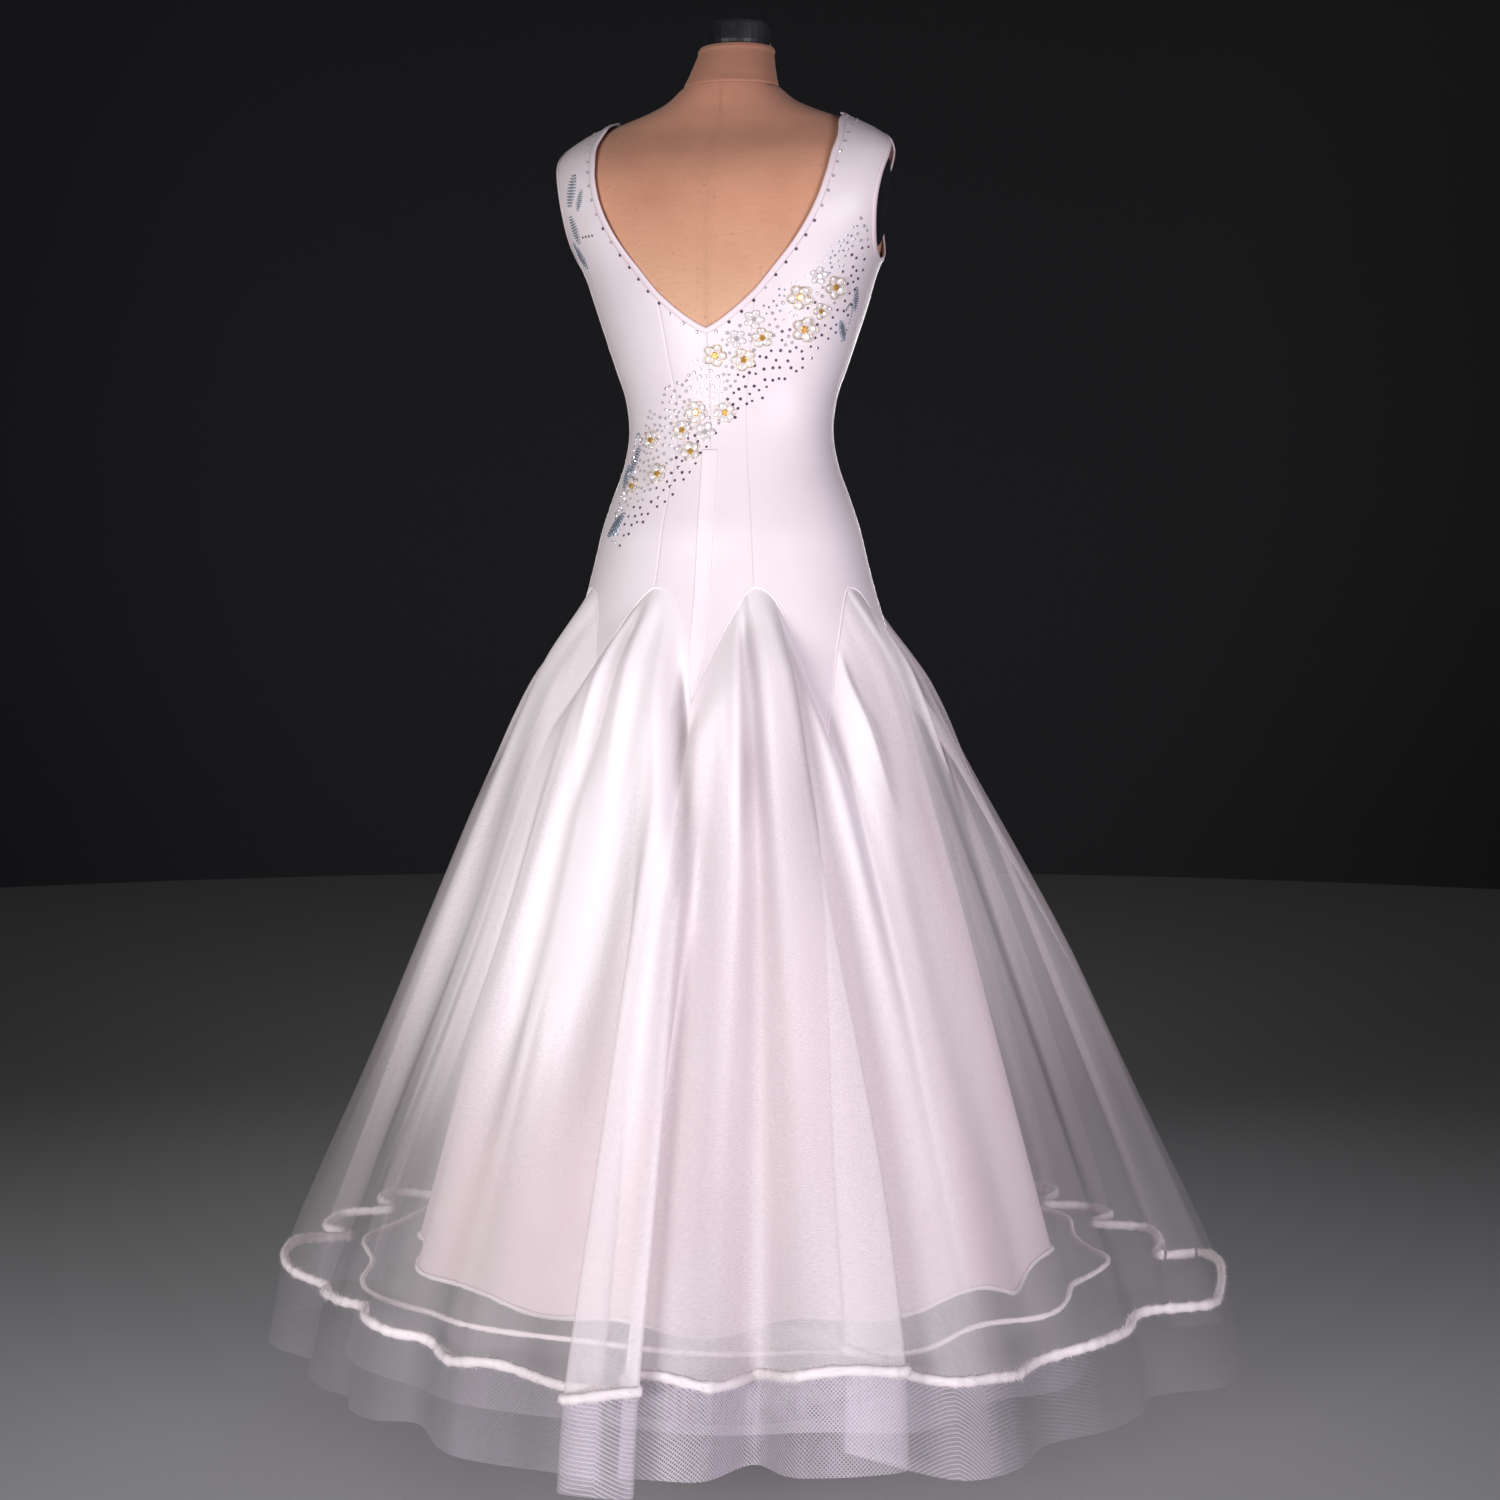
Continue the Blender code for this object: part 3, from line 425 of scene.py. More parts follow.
def addBump(tree, shader, height, strength, distance):
    bump = tree.nodes.new("ShaderNodeBump")
    bump.inputs["Strength"].default_value = strength
    bump.inputs["Distance"].default_value = distance
    connect(tree, height, bump.inputs["Height"])
    tree.links.new(bump.outputs["Normal"], shader.inputs["Normal"])


def patchyRoughness(tree, tone, shader, low, high):
    tree.links.new(spread(tree, tone.outputs["Patch"], 0, 1, low, high), shader.inputs["Roughness"])


satinLook = {
    "light": (0.81, 0.712, 0.750, 1),
    "dark": (0.76, 0.658, 0.702, 1),
    "patches": 7.0,
    "roughness": 0.42,
    "shine": 0.45,
    "sheen": 0.12,
    "sheenRoughness": 0.35,
    "threads": 1600.0,
    "unevenness": 0.5,
}


def startCloth(name, look):
    # a material with the two effects that every woven cloth here has
    material, tree, shader, place, cloth = startMaterial(
        name, look["roughness"], Sheen_Weight=look["sheen"], Sheen_Roughness=look["sheenRoughness"],
        Specular_IOR_Level=look["shine"])
    tone = useGroup(tree, toneGroup, Place=place, Scale=look["patches"], Light=look["light"],
                    Dark=look["dark"])
    weave = useGroup(tree, weaveGroup, Cloth=cloth, Threads_per_metre=look["threads"],
                     Unevenness=look["unevenness"])
    return material, tree, shader, place, tone, weave


def makeSatin(name, look):
    material, tree, shader, place, tone, weave = startCloth(name, look)
    colour = tone.outputs["Color"]
    if "yoke" in look:      # painted shade: the lining is drawn darker high up, where the gathers shade it
        high = spread(tree, axesOf(tree, place)["Z"], look["yokeFrom"], look["yokeTo"])
        colour = blendColours(tree, high, colour, look["yoke"])
    tree.links.new(colour, shader.inputs["Base Color"])
    patchyRoughness(tree, tone, shader, look["roughness"] - 0.05, look["roughness"] + 0.06)
    height = calc(tree, "MULTIPLY_ADD", noise(tree, place, 60.0), 0.6, weave.outputs["Height"])
    addBump(tree, shader, height, 0.12, 0.0006)
    return material


organzaLook = {
    "light": (0.94, 0.855, 0.885, 1),
    "dark": (0.91, 0.81, 0.85, 1),
    "patches": 5.0,
    "roughness": 0.72,
    "shine": 0.4,
    "sheen": 0.25,
    "sheenRoughness": 0.3,
    "cover": 0.24,
    "threads": 1300.0,
    "unevenness": 0.6,
}


def fullnessOf(tree):
    # how closely a sheer cloth is gathered, as its mesh gives it
    gathers = tree.nodes.new("ShaderNodeAttribute")
    gathers.attribute_name = "fullness"
    return gathers.outputs["Fac"]


def makeOrganza(name, look):
    # the share of light that the cloth stops changes with its threads
    material, tree, shader, _, tone, weave = startCloth(name, look)
    tree.links.new(tone.outputs["Color"], shader.inputs["Base Color"])
    cover = spread(tree, weave.outputs["Slub"], 0.3, 0.7, look["cover"] * 0.85, look["cover"] * 1.15)
    gathered = times(tree, cover, fullnessOf(tree))
    tree.links.new(spread(tree, gathered, 0, 0.95, 0, 0.95), shader.inputs["Alpha"])
    addBump(tree, shader, weave.outputs["Height"], 0.1, 0.0005)
    return material


braidLook = {
    "light": (0.90, 0.80, 0.89, 1),
    "dark": (0.72, 0.63, 0.75, 1),
    "roughness": 0.38,
    "sheen": 0.3,
    "thin": 0.07,
    "thick": 0.50,
    "spacing": 0.0042,
    "shimmer": 0.03,
}


def makeBraid(name, look):
    material, tree, shader, _, cloth = startMaterial(
        name, look["roughness"], Sheen_Weight=look["sheen"], Sheen_Roughness=0.3, Specular_IOR_Level=0.5)
    mesh = useGroup(tree, braidGroup, Cloth=cloth, Spacing=look["spacing"], Shimmer_size=look["shimmer"])
    filament, shimmer = mesh.outputs["Filament"], mesh.outputs["Shimmer"]
    shade = blendColours(tree, shimmer, look["light"], look["dark"])
    tree.links.new(shade, shader.inputs["Base Color"])
    weight = calc(tree, "MULTIPLY_ADD", filament, 0.75, times(tree, shimmer, 0.25))
    thickness = spread(tree, weight, 0, 1, look["thin"], look["thick"])
    tree.links.new(times(tree, thickness, fullnessOf(tree)), shader.inputs["Alpha"])
    addBump(tree, shader, filament, 0.25, 0.0008)
    return material


linenLook = {
    # painted light and shade: low is a lighter colour for the light low on the form, high a darker one for
    # the shade towards the shoulders
    "low": (0.90, 0.590, 0.400, 1),
    "high": (0.50, 0.220, 0.150, 1),
    "paintedShadingHeights": (1.16, 1.36, 1.50),       # heights: the painted light low down ends, and the painted shade high up starts and ends
    "light": (0.76, 0.375, 0.245, 1),
    "dark": (0.60, 0.275, 0.175, 1),
    "patches": 9.0,
    "roughness": 0.86,
    "shine": 0.25,
    "sheen": 0.12,
    "sheenRoughness": 0.5,
    "threads": 700.0,
    "unevenness": 0.9,
}


def makeLinen(name, look):
    material, tree, shader, place, tone, weave = startCloth(name, look)
    darker = tuple(part * 0.72 for part in look["dark"][:3]) + (1,)
    height = axesOf(tree, place)["Z"]
    low, middle, high = look["paintedShadingHeights"]
    # painted light low on the form and painted shade towards its top, blended by height
    paintedShadingColour = blendColours(tree, spread(tree, height, low, middle), look["low"], tone.outputs["Color"])
    paintedShadingColour = blendColours(tree, spread(tree, height, middle, high, 0.0, 0.8), paintedShadingColour, look["high"])
    specks = spread(tree, noise(tree, place, 150.0, 2.0), 0.66, 0.72, 0.0, 0.45)
    thread = spread(tree, weave.outputs["Height"], 0.1, 1.5, 0.0, 0.55)
    for amount in (specks, thread):
        paintedShadingColour = blendColours(tree, amount, paintedShadingColour, darker)
    tree.links.new(paintedShadingColour, shader.inputs["Base Color"])
    addBump(tree, shader, weave.outputs["Height"], 0.45, 0.0007)
    return material


def makeHard(name, colour, roughness, metallic, grain, strength, coat=0.0, shine=0.5):
    # painted steel and moulded plastic: a fine grain, and dull patches where hands have been
    material, tree, shader, place, _ = startMaterial(name, roughness, Metallic=metallic, Coat_Weight=coat,
                                                     Specular_IOR_Level=shine)
    worn = tuple(min(1.0, part * 1.8 + 0.01) for part in colour[:3]) + (1,)
    tone = useGroup(tree, toneGroup, Place=place, Scale=14.0, Light=colour, Dark=worn)
    tree.links.new(tone.outputs["Color"], shader.inputs["Base Color"])
    patchyRoughness(tree, tone, shader, roughness, roughness + 0.12)
    addBump(tree, shader, noise(tree, place, grain, 4.0), strength, 0.0005)
    return material


liningLook = dict(
    satinLook,
    light=(0.78, 0.65, 0.67, 1),
    dark=(0.72, 0.58, 0.61, 1),
    # painted shade: the lining's colour high up, under the outer layers' gathers
    yoke=(0.64, 0.490, 0.510, 1),
    yokeFrom=0.54,
    yokeTo=0.70,
    roughness=0.55,
    sheen=0.15,
    threads=1500.0,
)
trimLook = dict(
    satinLook,
    light=(0.90, 0.81, 0.86, 1),
    dark=(0.85, 0.75, 0.80, 1),
    roughness=0.50,
    sheen=0.2,
    threads=2200.0,
)
placketLook = dict(trimLook, light=(0.855, 0.755, 0.800, 1), dark=(0.805, 0.705, 0.750, 1), sheen=0.12)
# painted shade: the bindings are a darker, pinker colour for the shadow along the bodice's edges
bindingShadeLook = dict(trimLook, light=(0.830, 0.700, 0.750, 1), dark=(0.780, 0.640, 0.695, 1), sheen=0.12)
cordLook = dict(trimLook, light=(0.88, 0.80, 0.82, 1), dark=(0.78, 0.69, 0.72, 1), roughness=0.80,
                sheen=0.35)


satin = makeSatin("satinCloth", satinLook)
liningCloth = makeSatin("liningCloth", liningLook)
trimCloth = makeSatin("trimCloth", trimLook)
placketCloth = makeSatin("placketCloth", placketLook)
shadedBindingCloth = makeSatin("shadedBindingCloth", bindingShadeLook)
cordCloth = makeSatin("fluffyCord", cordLook)
organza = makeOrganza("organzaCloth", organzaLook)
braidCloth = makeBraid("horsehairBraid", braidLook)
linen = makeLinen("formLinen", linenLook)
blackPlastic = makeHard("blackPlastic", (0.012, 0.012, 0.015, 1), 0.24, 0.0, 260.0, 0.05, coat=0.3)
blackCloth = makeHard("blackPlateCloth", (0.006, 0.006, 0.008, 1), 0.95, 0.0, 500.0, 0.2, shine=0.05)
blackSteel = makeHard("blackPaintedSteel", (0.02, 0.02, 0.022, 1), 0.42, 0.0, 420.0, 0.25)
print("materials made")

formDetail = {
    "columns": 144,
    "rows": 150,
    "armPlaneX": 0.1690,          # the flat where an arm would be, at armPlaneHeight
    "armPlaneHeight": 1.300,
    "armPlaneSlope": 0.12,
    "armFlatFrom": 1.25,
    "seamTurns": (0.0, 0.25, 0.5, 0.75),
    "seamDepth": 0.0004,
    "seamWidth": 0.0013,
}


def seamGroove(turns, heights, detail):
    lift = np.zeros(np.broadcast(turns, heights).shape)
    for seam in detail["seamTurns"]:
        away = np.abs((turns - seam + 0.5) % 1.0 - 0.5) * fullTurn * 0.13
        lift = lift - detail["seamDepth"] * np.exp(-(away / detail["seamWidth"]) ** 2)
        lift = lift + 0.35 * detail["seamDepth"] * np.exp(-((away - 0.004) / 0.003) ** 2)
    return lift


def makeForm(detail):
    low, high = formRows[0].height, formRows[-1].height
    heights = np.linspace(low, high, detail["rows"])[:, None]
    # columns are drawn together at each seam, so that its groove is sharp
    turns = set(np.arange(detail["columns"]) / detail["columns"])
    for seam in detail["seamTurns"]:
        for away in (-0.006, -0.0035, -0.0018, -0.0009, 0.0, 0.0009, 0.0018, 0.0035, 0.006):
            turns.add((seam + away) % 1.0)
    turns = np.array(sorted(turns))[None, :]
    fade = smoothStep((high - heights) / 0.02) * smoothStep((heights - low) / 0.02)
    groove = (seamGroove(turns, heights, detail) * fade)[..., None]
    shape = figurePoint(formRows, turns, heights) + figureOutward(formRows, turns, heights) * groove
    reach = detail["armPlaneX"] + detail["armPlaneSlope"] * (heights - detail["armPlaneHeight"])
    flat = heights > detail["armFlatFrom"]
    shape[..., 0] = np.where(flat, np.clip(shape[..., 0], -reach, reach), shape[..., 0])
    form = ringsMesh("dressForm", shape, linen, 0.88)
    settle(form, "form_linen", "form_torso")


neckDetail = {
    "columns": 72,
    "rows": 40,
    "wrinkle": 0.0011,
    "wrinkleSpacing": 0.0032,
    "wrinkleReach": 0.010,
    "pinch": 0.002,               # at the neck seam
    "hem": 0.0012,
    "hemFromTop": 0.004,
}
NeckSection = namedtuple("NeckSection", "height halfWidth halfDepth centreY")
neckRows = [NeckSection(*row) for row in (
    (1.5003, 0.0565, 0.0430, 0.0000), (1.5140, 0.0525, 0.0425, -0.0070), (1.5300, 0.0482, 0.0420, -0.0160),
    (1.5460, 0.0446, 0.0415, -0.0250), (1.5520, 0.0437, 0.0410, -0.0280))]


def makeNeck(detail):
    low, high = neckRows[0].height, neckRows[-1].height
    heights = np.linspace(low, high, detail["rows"])[:, None]
    knots = [row.height for row in neckRows]
    halfWidth, halfDepth, centreY = (
        smoothCurve(knots, [row[k] for row in neckRows], heights) for k in (1, 2, 3))
    angle = (np.arange(detail["columns"]) / detail["columns"] * fullTurn)[None, :]
    above = heights - low
    # the linen is pulled into a few level creases above the neck seam, and turned in at the top
    crease = np.sin(above / detail["wrinkleSpacing"] + 0.9 * np.sin(2 * angle))
    crease = crease * np.exp(-above / detail["wrinkleReach"])
    swell = detail["wrinkle"] * crease * (0.55 + 0.45 * np.sin(3 * angle + 0.6))
    swell = swell - detail["pinch"] * np.exp(-(above / 0.0016) ** 2)
    swell = swell + detail["hem"] * np.exp(-((high - low - above - detail["hemFromTop"]) / 0.0025) ** 2)
    x = -(halfWidth + swell) * np.sin(angle)
    y = centreY + (halfDepth + swell) * np.cos(angle)
    rings = np.stack(np.broadcast_arrays(x, y, heights), axis=-1)
    settle(ringsMesh("formNeck", rings, linen, 0.30), "form_linen", "form_neck")


makeForm(formDetail)
makeNeck(neckDetail)
standMaterials = {
    "neck_cap": blackPlastic, "arm_plate_left": blackCloth, "arm_plate_right": blackCloth,
    "stand_base": blackSteel, "stand_collar": blackSteel, "stand_pole": blackSteel}
for node, material in standMaterials.items():
    paint(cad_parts[node].data, material)
print("form and stand made")


archCount = 8
yokeTop = 0.950
archPeak = 0.918
archPowerBefore = 1.5         # how an arch falls from its peak towards lower turns
archPowerAfter = 2.6          # and towards higher turns, where it is rounder
petalTips = [0.795, 0.752, 0.785, 0.780, 0.780, 0.780, 0.785, 0.826]   # from centre back
princessTurn = 0.5 / archCount
sideTurn = 0.25
EdgeRow = namedtuple("EdgeRow", "innerHeight neckHalfWidth outerHeight armholeInset")
levelHeights = (0.985, 1.020, 1.060, 1.100, 1.140, 1.175, 1.211)
levelEdges = [EdgeRow(height, None, height, 0.0) for height in levelHeights]
backEdges = levelEdges + [EdgeRow(*row) for row in (
    (1.254, None, 1.246, 0.0), (1.271, 0.0720, 1.275, 0.0), (1.300, 0.0950, 1.297, 0.0),
    (1.328, 0.1130, 1.306, 0.024), (1.356, 0.1265, 1.326, 0.044), (1.384, 0.1350, 1.354, 0.056),
    (1.410, 0.1395, 1.384, 0.055), (1.434, 0.1405, 1.408, 0.040), (1.449, 0.1375, 1.423, 0.018))]
frontEdges = levelEdges + [EdgeRow(*row) for row in (
    (1.246, None, 1.246, 0.0), (1.275, None, 1.275, 0.0), (1.305, None, 1.297, 0.0),
    (1.335, None, 1.306, 0.034), (1.364, None, 1.326, 0.066), (1.390, None, 1.354, 0.084),
    (1.400, 0.0560, 1.384, 0.082), (1.422, 0.0960, 1.408, 0.060), (1.444, 0.1250, 1.423, 0.030),
    (1.453, 0.1300, 1.427, 0.014))]
shoulderNeckHeight = 1.4600
shoulderTipHeight = 1.4300


def archHeight(turn):
    turn = np.asarray(turn) % 1.0
    place = turn * archCount
    tip = np.take(petalTips, np.rint(place).astype(int) % archCount)
    fromPeak = (place - np.floor(place) - 0.5) * 2
    mirrored = (turn > 0.5) & (turn < 0.75)       # the front's two halves mirror each other
    power = np.where((fromPeak > 0) != mirrored, archPowerAfter, archPowerBefore)
    return archPeak - (archPeak - tip) * np.abs(fromPeak) ** power


def turnAt(height, halfWidth):
    # the turn, on the back half, where the dress is halfWidth from its middle
    heights = [row.height for row in dressRows]
    width = smoothCurve(heights, [row.halfWidth for row in dressRows], height)
    squareness = smoothCurve(heights, [row.squareness for row in dressRows], height)
    angle = np.arcsin(np.minimum(halfWidth / width, 1.0) ** (squareness / 2))
    turn = angle / fullTurn
    for _ in range(12):
        turn = (angle + spacingEvener * np.sin(2 * fullTurn * turn)) / fullTurn
    return float(turn)


def readTable(table, place):
    # a table's columns, read at places between its rows
    index = np.arange(len(table))
    return [smoothCurve(index, column, place) for column in np.transpose(table)]


def corneredCurve(values, corner, place):
    # smooth along a table's rows, but for a sharp corner at one row
    index = np.arange(len(values))
    below = smoothCurve(index[:corner + 1], values[:corner + 1], place)
    above = smoothCurve(index[corner:], values[corner:], place)
    return np.where(place <= corner, below, above)


bodiceDetail = {
    "rowsPerStep": 6,
    "centreColumns": 26,
    "sideColumns": 72,
    "frontColumns": 96,
    "yokeRows": 30,
    "seamDepth": 0.00035,
    "seamWidth": 0.0012,
    "pucker": 0.00018,
    "puckerLengths": (0.007, 0.031),       # of the two waves that make the puckers up
    "puckerReach": 0.006,         # how far from the seam they fade
    "puckerGap": 0.001,           # and how near to it they begin
    "levelRun": 1.2,              # metres along a level seam for a whole turn
    "clothWidth": 0.92,           # metres of cloth for a whole turn
}


Panel = namedtuple("Panel", "inner outer innerCorner outerCorner")


def panelOf(edges, innerTurn, innerCorner, outerCorner):
    # the edges of a panel on the wearer's right, as turns and heights row by row, and their corner rows
    forward = innerTurn > sideTurn
    inner, outer = [(innerTurn, yokeTop)], [(sideTurn, yokeTop)]
    for edge in edges:
        turn = innerTurn
        if edge.neckHalfWidth is not None:
            turn = turnAt(edge.innerHeight, edge.neckHalfWidth)
            turn = 0.5 - turn if forward else turn
        inner.append((turn, edge.innerHeight))
        outer.append((sideTurn + (edge.armholeInset if forward else -edge.armholeInset), edge.outerHeight))
    inner.append((sideTurn, shoulderNeckHeight))
    outer.append((sideTurn, shoulderTipHeight))
    return Panel(np.array(inner), np.array(outer), innerCorner, outerCorner)


backSide = panelOf(backEdges, princessTurn, 8, 10)
frontSide = panelOf(frontEdges, 0.5, 13, 10)


def sideShares(columns):
    # evenly spaced across the panel, and closer together beside its two seams
    even = (1 - np.cos(np.linspace(0, math.pi, columns))) / 2
    return 0.45 * even + 0.55 * np.linspace(0, 1, columns)


def withYoke(turns, heights, detail):
    # the rows above yokeTop, with those that run down from it to the arched seam
    step = np.linspace(0, 1, detail["yokeRows"], endpoint=False)[:, None]
    arch = archHeight(turns[:1])
    lowTurns = np.broadcast_to(turns[:1], (detail["yokeRows"], turns.shape[1]))
    return np.concatenate([lowTurns, turns]), np.concatenate([arch + (yokeTop - arch) * step, heights])


def panelPlaces(panel, columns, detail):
    shares = sideShares(columns)[None, :]
    steps = len(panel.inner) - 1
    place = np.linspace(0, steps, steps * detail["rowsPerStep"] + 1)
    places = []
    for k in (0, 1):
        inner = corneredCurve(panel.inner[:, k], panel.innerCorner, place)[:, None]
        outer = corneredCurve(panel.outer[:, k], panel.outerCorner, place)[:, None]
        places.append(inner + (outer - inner) * shares)
    return places


def edgeDistance(points, index, axis):
    edge = points[:, index][:, None] if axis == 1 else points[index][None]
    return np.linalg.norm(points - edge, axis=-1)


def panelGrid(turns, heights, seams, detail):
    # the cloth dips at each seam, and puckers a little along it
    points, outward = clothFrame(turns, heights)
    lift = np.zeros(turns.shape)
    short, long = detail["puckerLengths"]
    for axis, index in seams:
        away = edgeDistance(points, index, axis)
        run = points[..., 2] if axis == 1 else turns * detail["levelRun"]
        wave = np.sin(fullTurn * run / short) * np.sin(fullTurn * run / long + 1.3)
        lift -= detail["seamDepth"] * np.exp(-(away / detail["seamWidth"]) ** 2)
        fading = detail["pucker"] * wave * np.exp(-away / detail["puckerReach"])
        lift += fading * (1 - np.exp(-away / detail["puckerGap"]))
    flat = np.stack([turns * detail["clothWidth"], heights], axis=-1)
    return points + lift[..., None] * outward, flat


def flipped(turns, heights):
    return -turns[:, ::-1], heights[:, ::-1]


clothWall = (clothFit["thickness"], 1.0)


def declareCloth(piece, nodes, slotName):
    settle(piece, slotName, *nodes)


# Rows up the centre back: heights at its seam and at the princess seam, and how far the row bows down
# between them.
centreRows = np.array([
    (yokeTop, yokeTop, 0.0), (0.985, 0.985, 0.0), (1.020, 1.020, 0.0), (1.060, 1.060, 0.0),
    (1.100, 1.100, 0.0), (1.140, 1.140, 0.0), (1.175, 1.175, 0.0), (1.198, 1.211, 0.2), (1.211, 1.254, 0.4)])


def centrePlaces(detail):
    steps = len(centreRows) - 1
    place = np.linspace(0, steps, steps * detail["rowsPerStep"] + 1)[:, None]
    seamHeight, princessHeight, bow = readTable(centreRows, place)
    shares = sideShares(detail["centreColumns"])[None, :]
    turns = np.broadcast_to(princessTurn * shares, (len(place), shares.shape[1]))
    return turns, seamHeight + (princessHeight - seamHeight) * (shares - bow * shares * (1 - shares))


def makeBodice(detail):
    centre = centrePlaces(detail)
    side = panelPlaces(backSide, detail["sideColumns"], detail)
    cuts = (
        ("centreBackRight", "centre_back_right", centre, (0.065, 0.455), 0.0188),
        ("centreBackLeft", "centre_back_left", flipped(*centre), (0.065, 0.455), 0.0188),
        ("sideBackRight", "side_back_right", side, (0.21, 0.74), 0.0834),
        ("sideBackLeft", "side_back_left", flipped(*side), (0.21, 0.72), 0.0795))
    for name, node, places, flat, area in cuts:
        grid = panelGrid(*withYoke(*places, detail), [(1, 0), (1, -1), (0, 0)], detail)
        panel = gridMesh(name, [grid], satin, wall=clothWall)
        declareCloth(panel, [node], "satin")
    turns, heights = (part[:, ::-1] for part in panelPlaces(frontSide, detail["frontColumns"], detail))
    turns, heights = withYoke(turns, heights, detail)
    halves = [panelGrid(turns, heights, [(1, 0), (0, 0)], detail),
              panelGrid(1.0 - turns[:, ::-1], heights[:, ::-1], [(1, -1), (0, 0)], detail)]
    front = gridMesh("frontPanel", halves, satin, wall=clothWall)
    declareCloth(front, ["front"], "satin")


makeBodice(bodiceDetail)
print("bodice made")


trimDetail = {
    "neckWidth": 0.0062,
    "armWidth": 0.0055,
    "bindingStep": 0.002,
    "archWidth": 0.0011,
    "archDepth": 0.0008,
    "archPoints": 960,
    "stripWidth": 0.0186,
    "stripTop": 1.075,
    "stripPoints": 180,
    "stripPoint": 0.055,          # how long its narrowing lower end is
}


def bindingProfile(width):
    # a strip folded over the cloth's edge: (out of the cloth, into the cloth from its edge)
    return [(0.0013, width), (0.0017, width - 0.0005), (0.0019, 0.5 * width), (0.0019, 0.0008),
            (0.0013, -0.0007), (0.0002, -0.0009), (-0.0006, -0.0003), (-0.0007, 0.4 * width),
            (-0.0001, 0.4 * width), (-0.0001, -0.0001), (0.0012, -0.0001), (0.0012, 0.5 * width)]


def readAlong(at, reach, line):
    return np.stack([np.interp(at, reach, line[:, k]) for k in range(line.shape[1])], axis=-1)


def evenly(points, normals, spacing, closed=True):
    # the same line, with its points evenly spaced
    if closed:
        points, normals = rejoined(points), rejoined(normals)
    reach = reachAlong(points)
    at = np.linspace(0, reach[-1], round(reach[-1] / spacing), endpoint=False)
    return readAlong(at, reach, points), readAlong(at, reach, normals)


def sidePlaces():
    # the back's and the front's side panel with two columns: only their edges are wanted
    return [panelPlaces(side, 2, bodiceDetail) for side in (backSide, frontSide)]


def neckLine():
    # the neck's edge all round: turns and heights from the apex at centre back, round by the wearer's right
    centre = centrePlaces(bodiceDetail)
    back, front = sidePlaces()
    low, frontLow = (side.innerCorner * bodiceDetail["rowsPerStep"] for side in (backSide, frontSide))
    lines = [[centre[k][-1], back[k][low + 1:, 0], front[k][frontLow:-1, 0][::-1]] for k in (0, 1)]
    turns, heights = map(np.concatenate, lines)
    return np.concatenate([turns, 1 - turns[1:-1][::-1]]), np.concatenate([heights, heights[1:-1][::-1]])


def armLine():
    # an armhole's edge all round, from under the arm up the back and down the front
    back, front = sidePlaces()
    low = backSide.outerCorner * bodiceDetail["rowsPerStep"]
    return [np.concatenate([back[k][low:, -1], front[k][low + 1:-1, -1][::-1]]) for k in (0, 1)]


def softened(values, times):
    for _ in range(times):
        values = (np.roll(values, 1, axis=0) + 2 * values + np.roll(values, -1, axis=0)) / 4
    return values


def makeTrims(detail):
    path, outward = evenly(*clothFrame(*neckLine()), detail["bindingStep"])
    profile = bindingProfile(detail["neckWidth"])
    settle(sweep("neckBinding", path, softened(outward, 6), profile, shadedBindingCloth), "satin")
    path, outward = evenly(*clothFrame(*armLine()), detail["bindingStep"])
    profile = bindingProfile(detail["armWidth"])
    for name, side in (("armBindingRight", 1), ("armBindingLeft", -1)):
        flip = np.array([side, 1, 1])
        shape = [(out, across * -side) for out, across in profile]
        settle(sweep(name, path * flip, softened(outward, 6) * flip, shape, shadedBindingCloth), "satin")
    turns = np.linspace(0, 1, detail["archPoints"], endpoint=False)
    points, outward = clothFrame(turns, archHeight(turns) + 0.0012, 0.0009)
    profile = ovalProfile(detail["archDepth"], detail["archWidth"], 8)
    settle(sweep("archPiping", points, outward, profile, trimCloth), "satin")
    low, high = petalTips[0] + 0.004, detail["stripTop"]
    heights = np.linspace(low, high, detail["stripPoints"])
    points, outward = clothFrame(0 * heights, heights, clothFit["thickness"])
    half = detail["stripWidth"] / 2
    right = [(0.0004, half - 0.0016), (0.0006, half - 0.0008), (0.0002, half), (-0.0002, half)]
    profile = [(out, -across) for out, across in right[::-1]] + [(0.0005, 0.0)] + right
    narrowing = np.interp(heights, [low, low + detail["stripPoint"]], [0.12, 1.0])
    strip = sweep("backPlacket", points, outward, profile, placketCloth, closed=False, scales=narrowing)
    settle(strip, "satin")


makeTrims(trimDetail)
print("trims made")


def softNoise(seed, x, y, waves=9):
    # a smooth wandering value between about -1 and 1
    source = np.random.default_rng(seed)
    total = np.zeros(np.broadcast(x, y).shape)
    for _ in range(waves):
        angle, phase, size = (source.uniform(*span) for span in ((0, fullTurn), (0, fullTurn), (0.6, 1.7)))
        total += np.sin((x * math.cos(angle) + y * math.sin(angle)) * size + phase)
    return total / math.sqrt(waves) * 0.8


def growTree(name, inputs):
    # a node tree for a modifier: its geometry comes in first, then the named sizes
    tree = bpy.data.node_groups.new(name, "GeometryNodeTree")
    tree.interface.new_socket("Geometry", in_out="INPUT", socket_type="NodeSocketGeometry")
    for label, kind, value in inputs + [("Seed", "Int", 0), ("Material", "Material", None)]:
        socket = tree.interface.new_socket(label, in_out="INPUT", socket_type="NodeSocket" + kind)
        if value is not None:
            socket.default_value = value
    tree.interface.new_socket("Geometry", in_out="OUTPUT", socket_type="NodeSocketGeometry")
    return tree, tree.nodes.new("NodeGroupInput").outputs


def add(tree, kind, values, result=0, **settings):
    # a node with its inputs set by name, each either a value or another node's output
    node = tree.nodes.new(kind)
    for label, value in settings.items():
        setattr(node, label, value)
    for label, value in values.items():
        connect(tree, value, node.inputs[label])
    return node.outputs[result]


